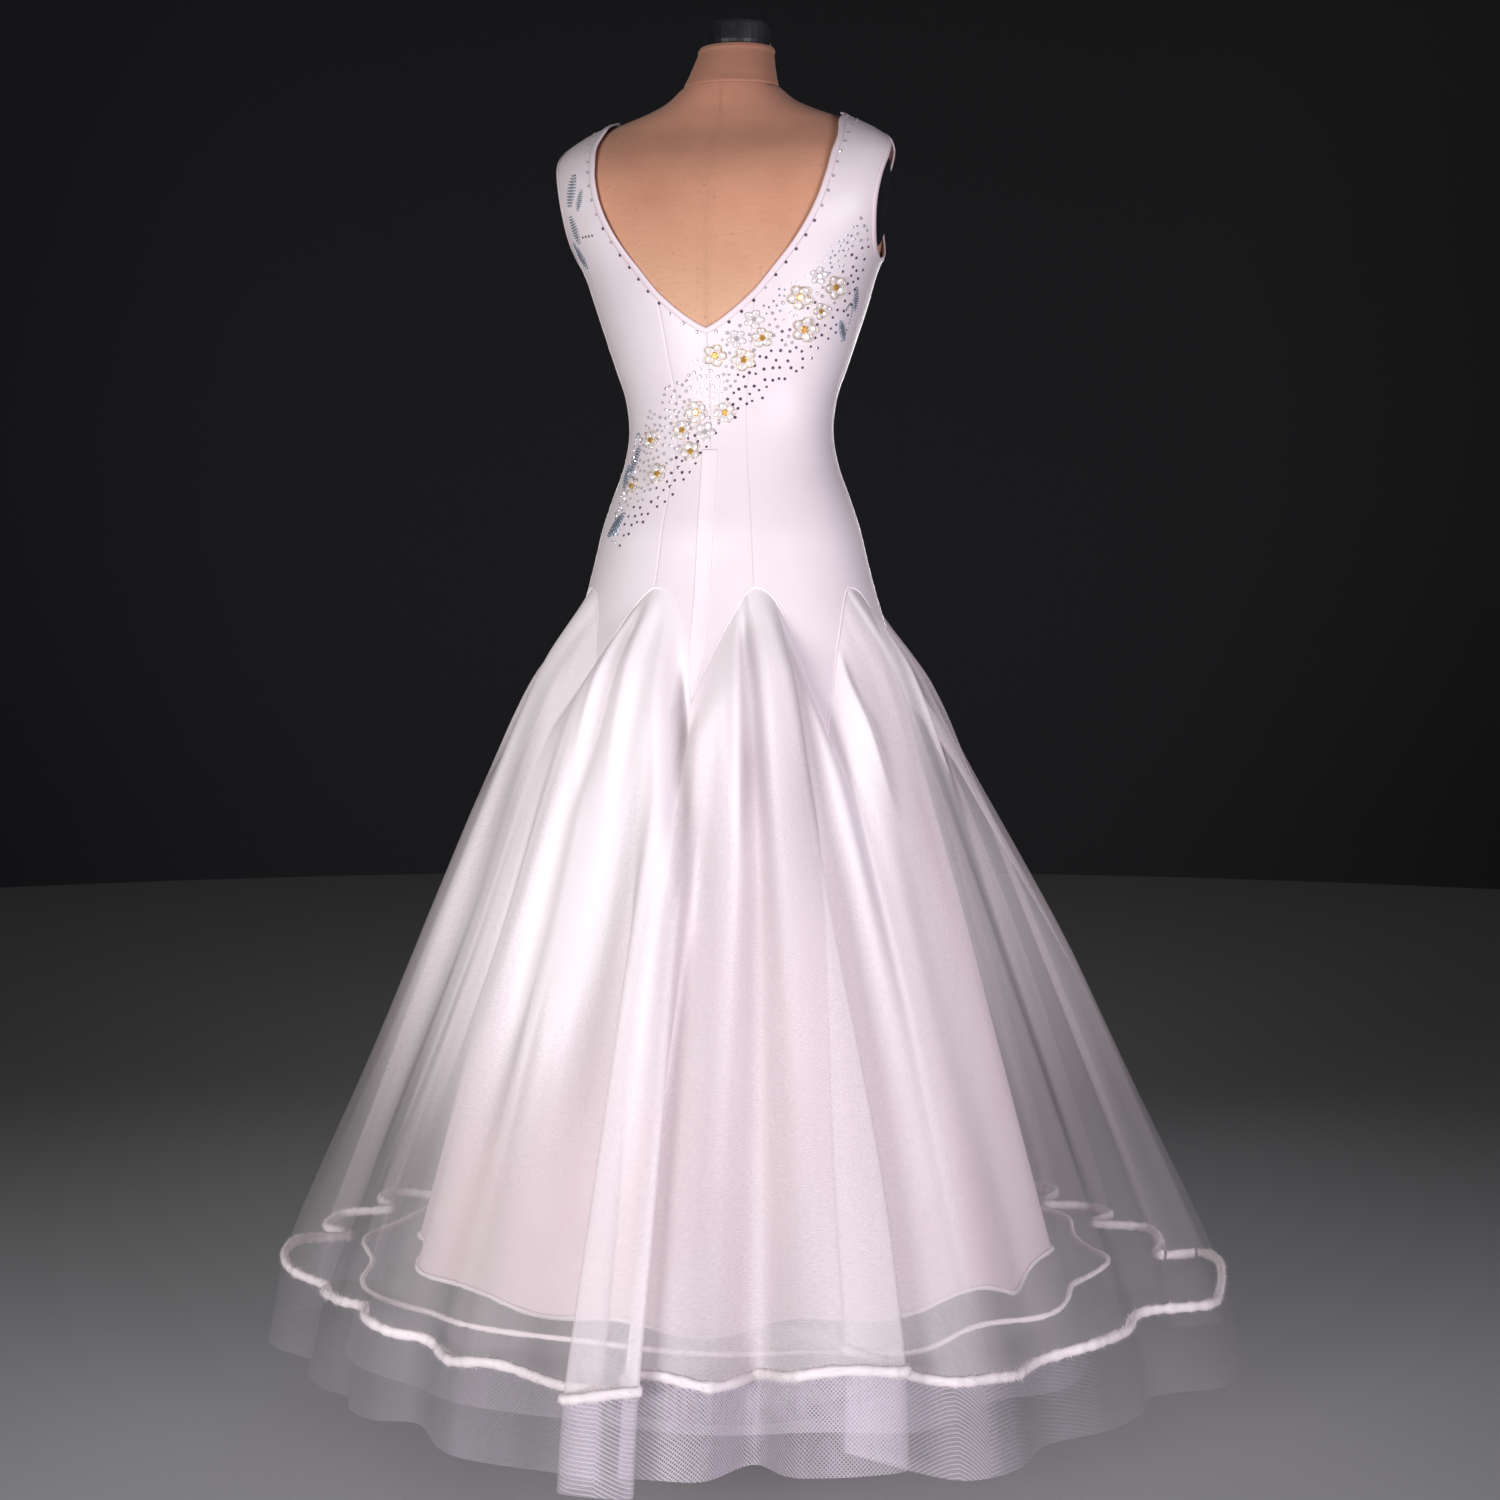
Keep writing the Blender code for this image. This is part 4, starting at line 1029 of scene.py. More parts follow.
def pointValue(tree, name, kind):
    return add(tree, "GeometryNodeInputNamedAttribute", {"Name": name}, data_type=kind)


def copiesAt(tree, points, copy, **turnAndSize):
    return add(tree, "GeometryNodeInstanceOnPoints", {"Points": points, "Instance": copy, **turnAndSize})


def standing(tree, way):
    # a turn that stands Z along a way
    return add(tree, "FunctionNodeAlignRotationToVector", {"Vector": way}, axis="Z")


def sizeOf(tree, into):
    return times(tree, pointValue(tree, "size", "FLOAT"), into["Size"])


def randomBetween(tree, into, low, high):
    value = add(tree, "FunctionNodeRandomValue", {"Seed": into["Seed"]}, result=1, data_type="FLOAT")
    value.node.inputs[2].default_value, value.node.inputs[3].default_value = low, high
    return value


def ballOf(tree, segments, rings):
    return add(tree, "GeometryNodeMeshUVSphere", {"Segments": segments, "Rings": rings, "Radius": 1.0})


def placeCopies(tree, into, copy, smooth):
    # a copy at each point, standing along its "facing", sized by its "size" and spun at random
    facing = standing(tree, pointValue(tree, "facing", "FLOAT_VECTOR"))
    copies = copiesAt(tree, into["Geometry"], copy, Rotation=facing, Scale=sizeOf(tree, into))
    turned = add(tree, "ShaderNodeCombineXYZ", {"Z": randomBetween(tree, into, 0.0, fullTurn)})
    copies = add(tree, "GeometryNodeRotateInstances", {"Instances": copies, "Rotation": turned})
    return finishTree(tree, into, copies, smooth)


def finishTree(tree, into, copies, smooth):
    real = add(tree, "GeometryNodeRealizeInstances", {"Geometry": copies})
    shaded = add(tree, "GeometryNodeSetShadeSmooth", {"Geometry": real, "Shade Smooth": smooth})
    painted = add(tree, "GeometryNodeSetMaterial", {"Geometry": shaded, "Material": into["Material"]})
    out = tree.nodes.new("NodeGroupOutput")
    tree.links.new(painted, out.inputs[0])
    return tree


def makeStoneTree():
    tree, into = growTree("cut stones", [
        ("Size", "Float", 1.0), ("Sides", "Int", 8), ("Table", "Float", 0.54), ("Depth", "Float", 0.48)])
    stone = add(tree, "GeometryNodeMeshCone", {
        "Vertices": into["Sides"], "Radius Top": into["Table"], "Radius Bottom": 1.0,
        "Depth": into["Depth"]})
    return placeCopies(tree, into, stone, False)


def ringOf(tree, into, piece):
    # the same piece at each point of a small ring, pointing outwards
    ring = add(tree, "GeometryNodeMeshCircle", {"Vertices": into["Petals"], "Radius": 0.5})
    place = add(tree, "GeometryNodeInputPosition", {})
    facing = add(tree, "FunctionNodeAlignRotationToVector", {"Vector": place}, axis="X", pivot_axis="Z")
    return add(tree, "GeometryNodeRealizeInstances", {
        "Geometry": copiesAt(tree, ring, piece, Rotation=facing)})


def petalShape(tree, piece, height, scale):
    # a round piece drawn out into a petal and tilted up a little
    return add(tree, "GeometryNodeTransform", {
        "Geometry": piece, "Translation": (0.06, 0, height), "Rotation": (0, -0.18, 0), "Scale": scale})


def makePetalTree():
    tree, into = growTree("petals", [("Size", "Float", 1.0), ("Petals", "Int", 5)])
    petal = petalShape(tree, ballOf(tree, 10, 6), 0.10, (0.41, 0.36, 0.10))
    return placeCopies(tree, into, ringOf(tree, into, petal), True)


def makeRimTree():
    tree, into = growTree("petal rims", [
        ("Size", "Float", 1.0), ("Petals", "Int", 5), ("Wire", "Float", 0.030)])
    loop = add(tree, "GeometryNodeCurvePrimitiveCircle", {"Resolution": 14, "Radius": 1.0})
    shaped = petalShape(tree, loop, 0.13, (0.43, 0.38, 1.0))
    profile = add(tree, "GeometryNodeCurvePrimitiveCircle", {"Resolution": 5, "Radius": into["Wire"]})
    wire = add(tree, "GeometryNodeCurveToMesh", {"Curve": shaped, "Profile Curve": profile})
    return placeCopies(tree, into, ringOf(tree, into, wire), True)


def lyingAlong(tree):
    # a turn that stands Z along each point's "facing" and lays X along its "along"
    return add(tree, "FunctionNodeAlignRotationToVector", {
        "Rotation": standing(tree, pointValue(tree, "facing", "FLOAT_VECTOR")),
        "Vector": pointValue(tree, "along", "FLOAT_VECTOR")}, axis="X", pivot_axis="Z")


def makeLeafTree():
    # a leaf is a row of rounded ribs, widest at its middle
    tree, into = growTree("ribbed leaves", [("Size", "Float", 1.0), ("Ribs", "Int", 11)])
    row = add(tree, "GeometryNodeMeshLine", {
        "Count": into["Ribs"], "Start Location": (-0.92, 0, 0.10), "Offset": (0.92, 0, 0.10)},
        mode="END_POINTS")
    x = axesOf(tree, add(tree, "GeometryNodeInputPosition", {}))["X"]
    width = calc(tree, "MULTIPLY_ADD", times(tree, x, x), -0.34, 0.42)
    scale = add(tree, "ShaderNodeCombineXYZ", {"X": 0.065, "Y": width, "Z": 0.08})
    ribs = copiesAt(tree, row, ballOf(tree, 8, 5), Scale=scale)
    whole = add(tree, "GeometryNodeRealizeInstances", {"Geometry": ribs})
    leaves = copiesAt(tree, into["Geometry"], whole, Rotation=lyingAlong(tree), Scale=sizeOf(tree, into))
    return finishTree(tree, into, leaves, True)


def makeStitchTree():
    # one stitch at each point, lying along the seam
    tree, into = growTree("stitches", [("Length", "Float", 0.0011), ("Thickness", "Float", 0.00022)])
    thickness = into["Thickness"]
    size = add(tree, "ShaderNodeCombineXYZ", {"X": into["Length"], "Y": thickness, "Z": thickness})
    stitches = copiesAt(tree, into["Geometry"], ballOf(tree, 5, 4), Rotation=lyingAlong(tree), Scale=size)
    return finishTree(tree, into, stitches, True)


def makeFluffTree():
    tree, into = growTree("fluff", [
        ("Density", "Float", 60000.0), ("Length", "Float", 0.005), ("Thickness", "Float", 0.00022),
        ("Lean", "Float", 0.8)])
    scattered = add(tree, "GeometryNodeDistributePointsOnFaces", {
        "Mesh": into["Geometry"], "Density": into["Density"], "Seed": into["Seed"]})
    strand = add(tree, "GeometryNodeMeshCone", {
        "Vertices": 3, "Radius Top": 0.0, "Radius Bottom": into["Thickness"], "Depth": into["Length"]})
    lean = add(tree, "FunctionNodeRandomValue", {"Seed": into["Seed"]}, data_type="FLOAT_VECTOR")
    lean.node.inputs[0].default_value = (-1, -1, -1)
    away = add(tree, "ShaderNodeVectorMath", {"Scale": into["Lean"]}, operation="SCALE")
    tree.links.new(lean, away.node.inputs[0])
    way = add(tree, "ShaderNodeVectorMath", {}, operation="ADD")
    tree.links.new(scattered.node.outputs["Normal"], way.node.inputs[0])
    tree.links.new(away, way.node.inputs[1])
    size = randomBetween(tree, into, 0.5, 1.2)
    strands = copiesAt(tree, scattered, strand, Rotation=standing(tree, way), Scale=size)
    return finishTree(tree, into, strands, False)


def grow(name, mesh, tree, material, seed, **values):
    # runs a tree on a mesh, and keeps what it makes as a plain mesh
    starter = placeObject(name + "Places", mesh)
    modifier = starter.modifiers.new("grown", "NODES")
    modifier.node_group = tree
    values.update(Seed=seed, Material=material)
    for socket in tree.interface.items_tree:
        if socket.in_out == "INPUT" and socket.name in values:
            modifier[socket.identifier] = values[socket.name]
    bpy.context.view_layer.update()
    surroundings = bpy.context.evaluated_depsgraph_get()
    made = bpy.data.meshes.new_from_object(starter.evaluated_get(surroundings), depsgraph=surroundings)
    made.name = name
    bpy.data.objects.remove(starter, do_unlink=True)
    return placeObject(name, made)


def pointMesh(name, points, facing, sizes, along=None):
    mesh = newMesh(name, points)
    giveValues(mesh, "facing", facing, "FLOAT_VECTOR")
    giveValues(mesh, "size", sizes)
    if along is not None:
        giveValues(mesh, "along", along, "FLOAT_VECTOR")
    return mesh


def makeCrystal(name, first, second, roughness, metallic, scale=420.0):
    # the colour changes from stone to stone and a little from facet to facet
    material, tree, shader, place, _ = startMaterial(name, roughness, Metallic=metallic, Coat_Weight=0.6)
    cell = tree.nodes.new("ShaderNodeTexVoronoi")
    cell.inputs["Scale"].default_value = scale
    tree.links.new(place, cell.inputs["Vector"])
    tone = useGroup(tree, toneGroup, Place=place, Scale=160.0, Light=first, Dark=second)
    shade = blendColours(tree, cell.outputs["Distance"], tone.outputs["Color"], second)
    tree.links.new(shade, shader.inputs["Base Color"])
    patchyRoughness(tree, tone, shader, roughness, roughness + 0.08)
    addBump(tree, shader, noise(tree, place, 900.0, 2.0), 0.05, 0.0002)
    return material


crystalLooks = {
    "clear": makeCrystal("clearCrystal", (0.97, 0.93, 0.94, 1), (0.66, 0.58, 0.64, 1), 0.07, 0.45),
    "mauve": makeCrystal("mauveCrystal", (0.30, 0.19, 0.27, 1), (0.16, 0.10, 0.17, 1), 0.10, 0.55),
    "blue": makeCrystal("silverBlueCrystal", (0.56, 0.64, 0.71, 1), (0.28, 0.33, 0.40, 1), 0.12, 0.40),
    "amber": makeCrystal("amberCrystal", (0.86, 0.58, 0.16, 1), (0.62, 0.33, 0.08, 1), 0.10, 0.45),
    "pearl": makeCrystal("pearlPetal", (0.90, 0.85, 0.84, 1), (0.76, 0.69, 0.70, 1), 0.20, 0.12, 200.0),
    "gold": makeCrystal("goldWire", (0.93, 0.78, 0.52, 1), (0.80, 0.62, 0.38, 1), 0.25, 0.80, 300.0),
}
stoneTree, petalTree, rimTree = makeStoneTree(), makePetalTree(), makeRimTree()
leafTree, stitchTree, fluffTree = makeLeafTree(), makeStitchTree(), makeFluffTree()

# Where the stonework lies on the bodice: turns and heights along its upper and its lower edge.
bandUpper = np.array([
    (0.179, 1.339), (0.153, 1.311), (0.133, 1.284), (0.104, 1.263), (0.067, 1.233), (0.039, 1.214),
    (-0.011, 1.185), (-0.040, 1.163), (-0.107, 1.134), (-0.155, 1.090), (-0.168, 1.030), (-0.160, 0.975)])
bandLower = np.array([
    (0.210, 1.302), (0.214, 1.262), (0.205, 1.222), (0.178, 1.191), (0.144, 1.164), (0.101, 1.140),
    (0.059, 1.114), (0.016, 1.097), (-0.009, 1.069), (-0.040, 1.030), (-0.087, 0.996), (-0.133, 0.965)])
# Flowers: the golden ones have an amber centre and gold wire round their petals.
Flower = namedtuple("Flower", "turn height radius golden")
flowers = [Flower(*row) for row in (
    (0.121, 1.245, 0.0160, True), (0.137, 1.210, 0.0166, True), (0.170, 1.258, 0.0154, True),
    (0.156, 1.231, 0.0109, True), (0.010, 1.181, 0.0147, True), (0.053, 1.176, 0.0147, True),
    (0.078, 1.200, 0.0128, True), (0.042, 1.199, 0.0122, False), (0.064, 1.220, 0.0128, False),
    (0.141, 1.269, 0.0122, False), (-0.025, 1.118, 0.0147, True), (0.025, 1.117, 0.0134, True),
    (-0.052, 1.098, 0.0128, True), (-0.009, 1.095, 0.0141, False), (-0.034, 1.073, 0.0134, True),
    (-0.118, 1.088, 0.0128, True), (-0.091, 1.048, 0.0141, True), (-0.141, 1.035, 0.0128, True))]
# Leaves: the slant is from level, in radians.
Leaf = namedtuple("Leaf", "turn height size slant")
leaves = [Leaf(*row) for row in (
    (-0.157, 1.3750, 0.0190, 1.45), (-0.144, 1.3630, 0.0125, 1.30), (-0.167, 1.3330, 0.0170, 1.75),
    (-0.181, 1.3050, 0.0180, 1.95), (-0.152, 1.0660, 0.0170, 1.30), (-0.166, 1.0450, 0.0160, 1.75),
    (-0.150, 0.9900, 0.0190, 0.85), (0.213, 1.2480, 0.0150, -1.25), (0.203, 1.2120, 0.0140, -0.95))]
# Curls of beads: the angle that each starts at, and how far it sweeps round, in radians.
Curl = namedtuple("Curl", "turn height reach start sweep")
curls = [Curl(-0.158, 1.070, 0.030, 0.6, 4.2), Curl(-0.150, 0.996, 0.024, 2.4, 3.4),
         Curl(0.205, 1.225, 0.026, -1.2, 3.6)]
Stone = namedtuple("Stone", "turn height radius colour")
stoneDetail = {
    "radius": 0.0024,
    "smallRadius": 0.0016,
    "edgeSpacing": 0.018,         # between the stones along the neck
    "inset": 0.0085,              # from the neck's edge
    "mauveBelow": 1.335,          # the neck's stones are clear above this, and mauve down the back
    "clearEvery": 6,              # one of so many is clear all the same
    "scatter": 400,
    "throws": 6000,
    "clearShare": 0.42,           # of the band's breadth, from its upper edge
    "mixedShare": 0.66,
    "clear": (0.0074, 0.0025),    # how far apart, and each stone's radius
    "mauve": (0.0088, 0.0021),
    "blue": (0.0056, 0.0017),
    "girth": 0.95,                # metres of cloth for a whole turn
    "flowerSize": 0.90,
    "centreSize": 0.36,
    "curlBeads": 22,
    "rowStones": 4,
    "rowStart": (-0.157, 1.323),
    "rowStep": 0.0065,
}
outerFace = clothFit["thickness"] - 0.0002


def alongBand(table, share):
    return np.stack(readTable(table, share * (len(table) - 1)), axis=-1)


def scatterStones(detail):
    # stones thrown at random over the band, kept apart from one another and off the flowers
    source = np.random.default_rng(7)
    scale = np.array([detail["girth"], 1.0])
    taken = [(np.array(flower[:2]) * scale, flower.radius * 0.98 + detail["radius"]) for flower in flowers]
    found, laid = [], []
    for _ in range(detail["throws"]):
        share, across = source.random(), source.beta(1.5, 1.5)
        upper, lower = alongBand(bandUpper, share), alongBand(bandLower, share)
        spot = (upper + (lower - upper) * across) * scale
        if any(np.linalg.norm(spot - centre) < reach for centre, reach in taken):
            continue
        mood = softNoise(5, share * 14, across * 3.0)
        if across < detail["clearShare"] or (across < detail["mixedShare"] and mood > 0.1):
            colour = "clear" if mood > -0.75 else "blue"
        else:
            colour = "mauve" if mood > -0.85 else "blue"
        apart, radius = detail[colour]
        if any(np.linalg.norm(spot - other) < apart for other in laid):
            continue
        laid.append(spot)
        found.append(Stone(*(spot / scale), radius * source.uniform(0.85, 1.1), colour))
        if len(found) == detail["scatter"]:
            break
    return found


def neckStones(detail):
    # one row along the neck's binding
    turns, heights = neckLine()
    points, _ = clothFrame(turns, heights)
    reach = reachAlong(rejoined(points))
    line = np.stack([np.unwrap(rejoined(turns) * fullTurn) / fullTurn, rejoined(heights)], axis=1)
    girth = detail["girth"]
    count = round(reach[-1] / detail["edgeSpacing"])
    found = []
    for k in range(count):
        at = (k + 0.5) * reach[-1] / count
        turn, height = readAlong(at, reach, line)
        turn = turn % 1.0
        before, after = (readAlong(at + step, reach, line) for step in (-0.004, 0.004))
        ahead = unit((after - before) * [girth, 1.0])
        low = height < detail["mauveBelow"] and (turn < sideTurn or turn > 1 - sideTurn)
        found.append(Stone(
            turn + ahead[1] / girth * detail["inset"], height - ahead[0] * detail["inset"],
            detail["radius"] * 0.95, "mauve" if low and k % detail["clearEvery"] != 4 else "clear"))
    return found


def sprigStones(detail):
    # curls of small silver-blue beads at the band's ends, and a short row by the left shoulder
    found = []
    last = detail["curlBeads"] - 1
    for curl in curls:
        for share in (k / last for k in range(last + 1)):
            angle = curl.start + curl.sweep * share
            size = curl.reach * (1 - 0.45 * share)
            found.append(Stone(curl.turn + 0.45 * size * math.cos(angle) / detail["girth"],
                               curl.height + size * math.sin(angle), detail["smallRadius"], "blue"))
    turn, height = detail["rowStart"]
    for k in range(detail["rowStones"]):
        found.append(Stone(turn + detail["rowStep"] * k, height, detail["smallRadius"] * 1.1, "mauve"))
    return found


def placesOf(rows):
    # where the rows of a table stand on the bodice, and the way out of the cloth there
    turns, heights = np.array([(row.turn, row.height) for row in rows]).T
    return clothFrame(turns, heights, outerFace)


def growCrystal(name, mesh, tree, colour, seed, **values):
    settle(grow(name, mesh, tree, crystalLooks[colour], seed, **values), "crystal")


def leafMesh():
    points, facing = placesOf(leaves)
    level = unit(np.stack([-facing[:, 1], facing[:, 0], 0 * facing[:, 0]], axis=1))
    slant = np.array([leaf.slant for leaf in leaves])[:, None]
    along = level * np.cos(slant) + np.cross(facing, level) * np.sin(slant)
    return pointMesh("leaves", points, facing, [leaf.size for leaf in leaves], along)


def makeStonework(detail):
    stones = scatterStones(detail) + neckStones(detail) + sprigStones(detail)
    for name, colour in (("clearStones", "clear"), ("mauveStones", "mauve"), ("blueBeads", "blue")):
        chosen = [stone for stone in stones if stone.colour == colour]
        mesh = pointMesh(name, *placesOf(chosen), [stone.radius for stone in chosen])
        growCrystal(name, mesh, stoneTree, colour, 3)
    points, outward = placesOf(flowers)
    sizes = np.array([flower.radius for flower in flowers]) * detail["flowerSize"]
    golden = np.array([flower.golden for flower in flowers])
    growCrystal("flowerPetals", pointMesh("petals", points, outward, sizes), petalTree, "pearl", 9)
    rims = pointMesh("rims", points[golden], outward[golden], sizes[golden])
    growCrystal("flowerRims", rims, rimTree, "gold", 9)
    raised = points + outward * 0.0012
    for name, chosen, colour in (("flowerCentres", golden, "amber"), ("whiteCentres", ~golden, "clear")):
        mesh = pointMesh(name, raised[chosen], outward[chosen], sizes[chosen] * detail["centreSize"])
        growCrystal(name, mesh, stoneTree, colour, 5, Table=0.62, Depth=0.55)
    growCrystal("shoulderLeaves", leafMesh(), leafTree, "blue", 1)


makeStonework(stoneDetail)
print("stonework made")


stitchDetail = {
    "spacing": 0.0032,
    "length": 0.0011,
    "thickness": 0.00024,
    "fromArch": 0.0042,
    "fromStrip": 0.0016,
    "stripPoints": 160,
    "aboveTip": 0.045,            # where the strip's stitches start and end
    "belowTop": 0.003,
}


def sewLine(name, turns, heights, closed, detail):
    # a row of stitches along a line on the bodice
    points, outward = evenly(*clothFrame(turns, heights, outerFace), detail["spacing"], closed)
    along = np.roll(points, -1, axis=0) - points
    along[-1] = along[-2]
    mesh = pointMesh(name, points, outward, np.ones(len(points)), along)
    sizes = {"Length": detail["length"], "Thickness": detail["thickness"]}
    settle(grow(name, mesh, stitchTree, trimCloth, 2, **sizes), "satin")


def makeStitches(detail):
    turns = np.linspace(0, 1, trimDetail["archPoints"], endpoint=False)
    sewLine("archStitches", turns, archHeight(turns) + detail["fromArch"], True, detail)
    low, high = petalTips[0] + detail["aboveTip"], trimDetail["stripTop"] - detail["belowTop"]
    heights = np.linspace(low, high, detail["stripPoints"])
    away = (trimDetail["stripWidth"] / 2 + detail["fromStrip"]) / stoneDetail["girth"]
    for name, turn in (("placketStitchesLeft", -away), ("placketStitchesRight", away)):
        sewLine(name, np.full(len(heights), turn), heights, False, detail)


makeStitches(stitchDetail)
print("stitches made")


# The skirt's own values, as in the source.
meanHemRadius = 0.524
hemHeight = 0.050
bandWidth = 0.088
foldOnset = 0.45
overlapFrom, overlapTo = 0.15, 0.75
foldWindow = 4
spreadDrops = [0.00, 0.05, 0.10, 0.21, 0.42, 0.63, 0.80, 0.90, 1.00]
spreadShares = [0.000, 0.092, 0.170, 0.284, 0.482, 0.684, 0.856, 0.949, 1.000]
columnsPerGore = 12
Fold = namedtuple("Fold", "left right radius tuck tuckRadius lift")


def frontFolds(gore):
    # three even folds in each of the front's gores
    lefts = [118.0 + 13.0 * (3 * gore + k) for k in range(3)]
    return [(left, left + 5.5, radius, left + 9.3, 0.492, 0.004)
            for left, radius in zip(lefts, (0.549, 0.536, 0.543))]


goreFolds = [[Fold(*row) for row in rows] for rows in (
    ((6.5, 12.0, 0.523, 17.5, 0.472, 0.006), (21.5, 33.0, 0.556, 28.0, 0.490, 0.020),
     (39.0, 46.0, 0.547, 54.0, 0.508, 0.000)),
    ((62.0, 69.0, 0.530, 76.0, 0.516, 0.004), (85.0, 108.5, 0.578, 107.5, 0.522, 0.002)),
    frontFolds(0), frontFolds(1), frontFolds(2), frontFolds(3),
    ((277.0, 291.0, 0.530, 299.0, 0.486, 0.004), (305.0, 312.0, 0.496, 317.0, 0.483, 0.006)),
    ((322.0, 327.0, 0.500, 332.0, 0.473, 0.006), (339.0, 355.0, 0.493, 360.6, 0.508, -0.006),
     (357.6, 365.4, 0.559, 362.4, 0.508, 0.000)))]


def polar(degrees, radius, height):
    angle = np.radians(degrees)
    return np.stack(np.broadcast_arrays(-radius * np.sin(angle), radius * np.cos(angle), height), axis=-1)


def splinePoint(before, start, end, after, share):
    knots = [0.0]
    for a, b in ((before, start), (start, end), (end, after)):
        knots.append(knots[-1] + max(np.linalg.norm(b - a), 1e-6) ** 0.5)
    t = knots[1] + (knots[2] - knots[1]) * share

    def mix(a, b, low, high):
        return a * ((high - t) / (high - low)) + b * ((t - low) / (high - low))

    first = mix(before, start, knots[0], knots[1])
    second = mix(start, end, knots[1], knots[2])
    third = mix(end, after, knots[2], knots[3])
    return mix(mix(first, second, knots[0], knots[2]), mix(second, third, knots[1], knots[3]),
               knots[1], knots[2])


def hemPoints(fineness):
    # a smooth line through the folds' corners, with the same number of points in each gore
    controls, seams = [], []
    for folds in goreFolds:
        for fold in folds:
            corners = ((fold.left, fold.radius), (fold.right, fold.radius), (fold.tuck, fold.tuckRadius))
            controls += [polar(degrees, radius, hemHeight + fold.lift) for degrees, radius in corners]
        seams.append(len(controls) - 3)
    total = len(controls)

    def lengthOf(start, end):
        near, far = controls[math.floor(start) % total], controls[math.ceil(end) % total]
        return np.linalg.norm(far - near) * (end - start)

    points = []
    for gore, seam in enumerate(seams):
        start = seams[gore - 1] - (total if gore == 0 else 0)
        places = [start + 0.5] + [float(k) for k in range(start + 1, seam + 1)] + [seam + 0.5]
        while len(places) < columnsPerGore + 1:
            lengths = [lengthOf(*pair) for pair in zip(places, places[1:])]
            widest = lengths.index(max(lengths))
            places.insert(widest + 1, (places[widest] + places[widest + 1]) / 2)
        fine = np.interp(np.arange(columnsPerGore * fineness) / fineness, np.arange(len(places)), places)
        for place in fine:
            k = math.floor(place)
            around = [controls[(k + step) % total] for step in (-1, 0, 1, 2)]
            points.append(splinePoint(*around, place - k))
    return np.array(points)


def angleOf(points):
    # from centre back, in radians
    return np.arctan2(-points[..., 0], points[..., 1])


def wayOut(angle):
    return np.stack([-np.sin(angle), np.cos(angle)], axis=-1)


def smoothedAngles(hem, window):
    angles = np.unwrap(angleOf(hem))
    around = np.concatenate([angles - fullTurn, angles, angles + fullTurn])
    share = np.ones(2 * window + 1) / (2 * window + 1)
    return np.convolve(around, share, mode="same")[len(hem):2 * len(hem)]


def skirtPoints(top, hem, meanAngle, meanRadius, drops, spreads):
    # rows and columns of a skirt, from the seam down: drops and spreads are 0 at the top and 1 at the hem
    topAngle = angleOf(top)
    turned = (meanAngle - topAngle + math.pi) % fullTurn - math.pi
    angle = topAngle + turned * drops
    topRadius = np.hypot(top[:, 0], top[:, 1])
    radius = topRadius + (meanRadius - topRadius) * spreads
    outward = wayOut(meanAngle)
    offset = hem[:, :2] - meanRadius * outward
    depth = outward * (offset * outward).sum(axis=-1, keepdims=True)
    overlapped = smoothStep((drops - overlapFrom) / (overlapTo - overlapFrom))
    moved = depth * smoothStep(drops / foldOnset)[..., None] + (offset - depth) * overlapped[..., None]
    place = radius[..., None] * wayOut(angle) + moved * (radius / meanRadius)[..., None]
    height = top[:, 2] + (hem[:, 2] - top[:, 2]) * drops
    return np.concatenate([place, height[..., None]], axis=-1)


# Troughs run down from the arched seam between its gathers: angles from centre back in degrees.
Trough = namedtuple("Trough", "topAngle lowAngle high low depth width")
troughs = [Trough(*row) for row in (
    (-7.0, 5.0, 0.880, 0.600, 0.0190, 0.0150), (20.5, 18.5, 0.880, 0.650, 0.0130, 0.0120),
    (38.0, 35.5, 0.880, 0.670, 0.0110, 0.0180), (-19.0, -15.0, 0.880, 0.700, 0.008, 0.0120),
    (-31.0, -27.0, 0.880, 0.690, 0.012, 0.0110), (60.0, 58.0, 0.880, 0.680, 0.014, 0.0110),
    (81.0, 79.0, 0.880, 0.680, 0.016, 0.0110), (104.0, 105.0, 0.880, 0.690, 0.016, 0.0110),
    (128.0, 127.0, 0.880, 0.680, 0.018, 0.0100), (150.0, 149.0, 0.880, 0.690, 0.018, 0.0110),
    (172.0, 173.0, 0.880, 0.680, 0.018, 0.0100), (195.0, 194.0, 0.880, 0.690, 0.018, 0.0110),
    (217.0, 218.0, 0.880, 0.680, 0.018, 0.0100), (240.0, 241.0, 0.880, 0.690, 0.016, 0.0110),
    (262.0, 263.0, 0.880, 0.680, 0.016, 0.0110), (285.0, 287.0, 0.880, 0.690, 0.014, 0.0110))]


outerSkirtDetail = {
    "columnsPerStep": 5,
    "rows": 64,
    "bandRows": 14,
    "ripple": 0.0026,
    "hemWave": 0.0085,            # how far the seam above the braid wanders up and down
    "bandFullness": 0.66,
}


troughDetail = {
    "topFade": 0.045,             # from the arched seam down
    "lowFade": 0.12,
    "lowest": 0.03,               # how far each goes on below its low end
    "steepSide": 0.55,            # shares of the width, towards lower and higher angles
    "softSide": 1.35,
    "ridgeAt": 2.2,
    "ridgeWidth": 0.9,
    "ridgeShare": 0.15,
    "ridgeFullness": 10,
    "cutFullness": 36,
}


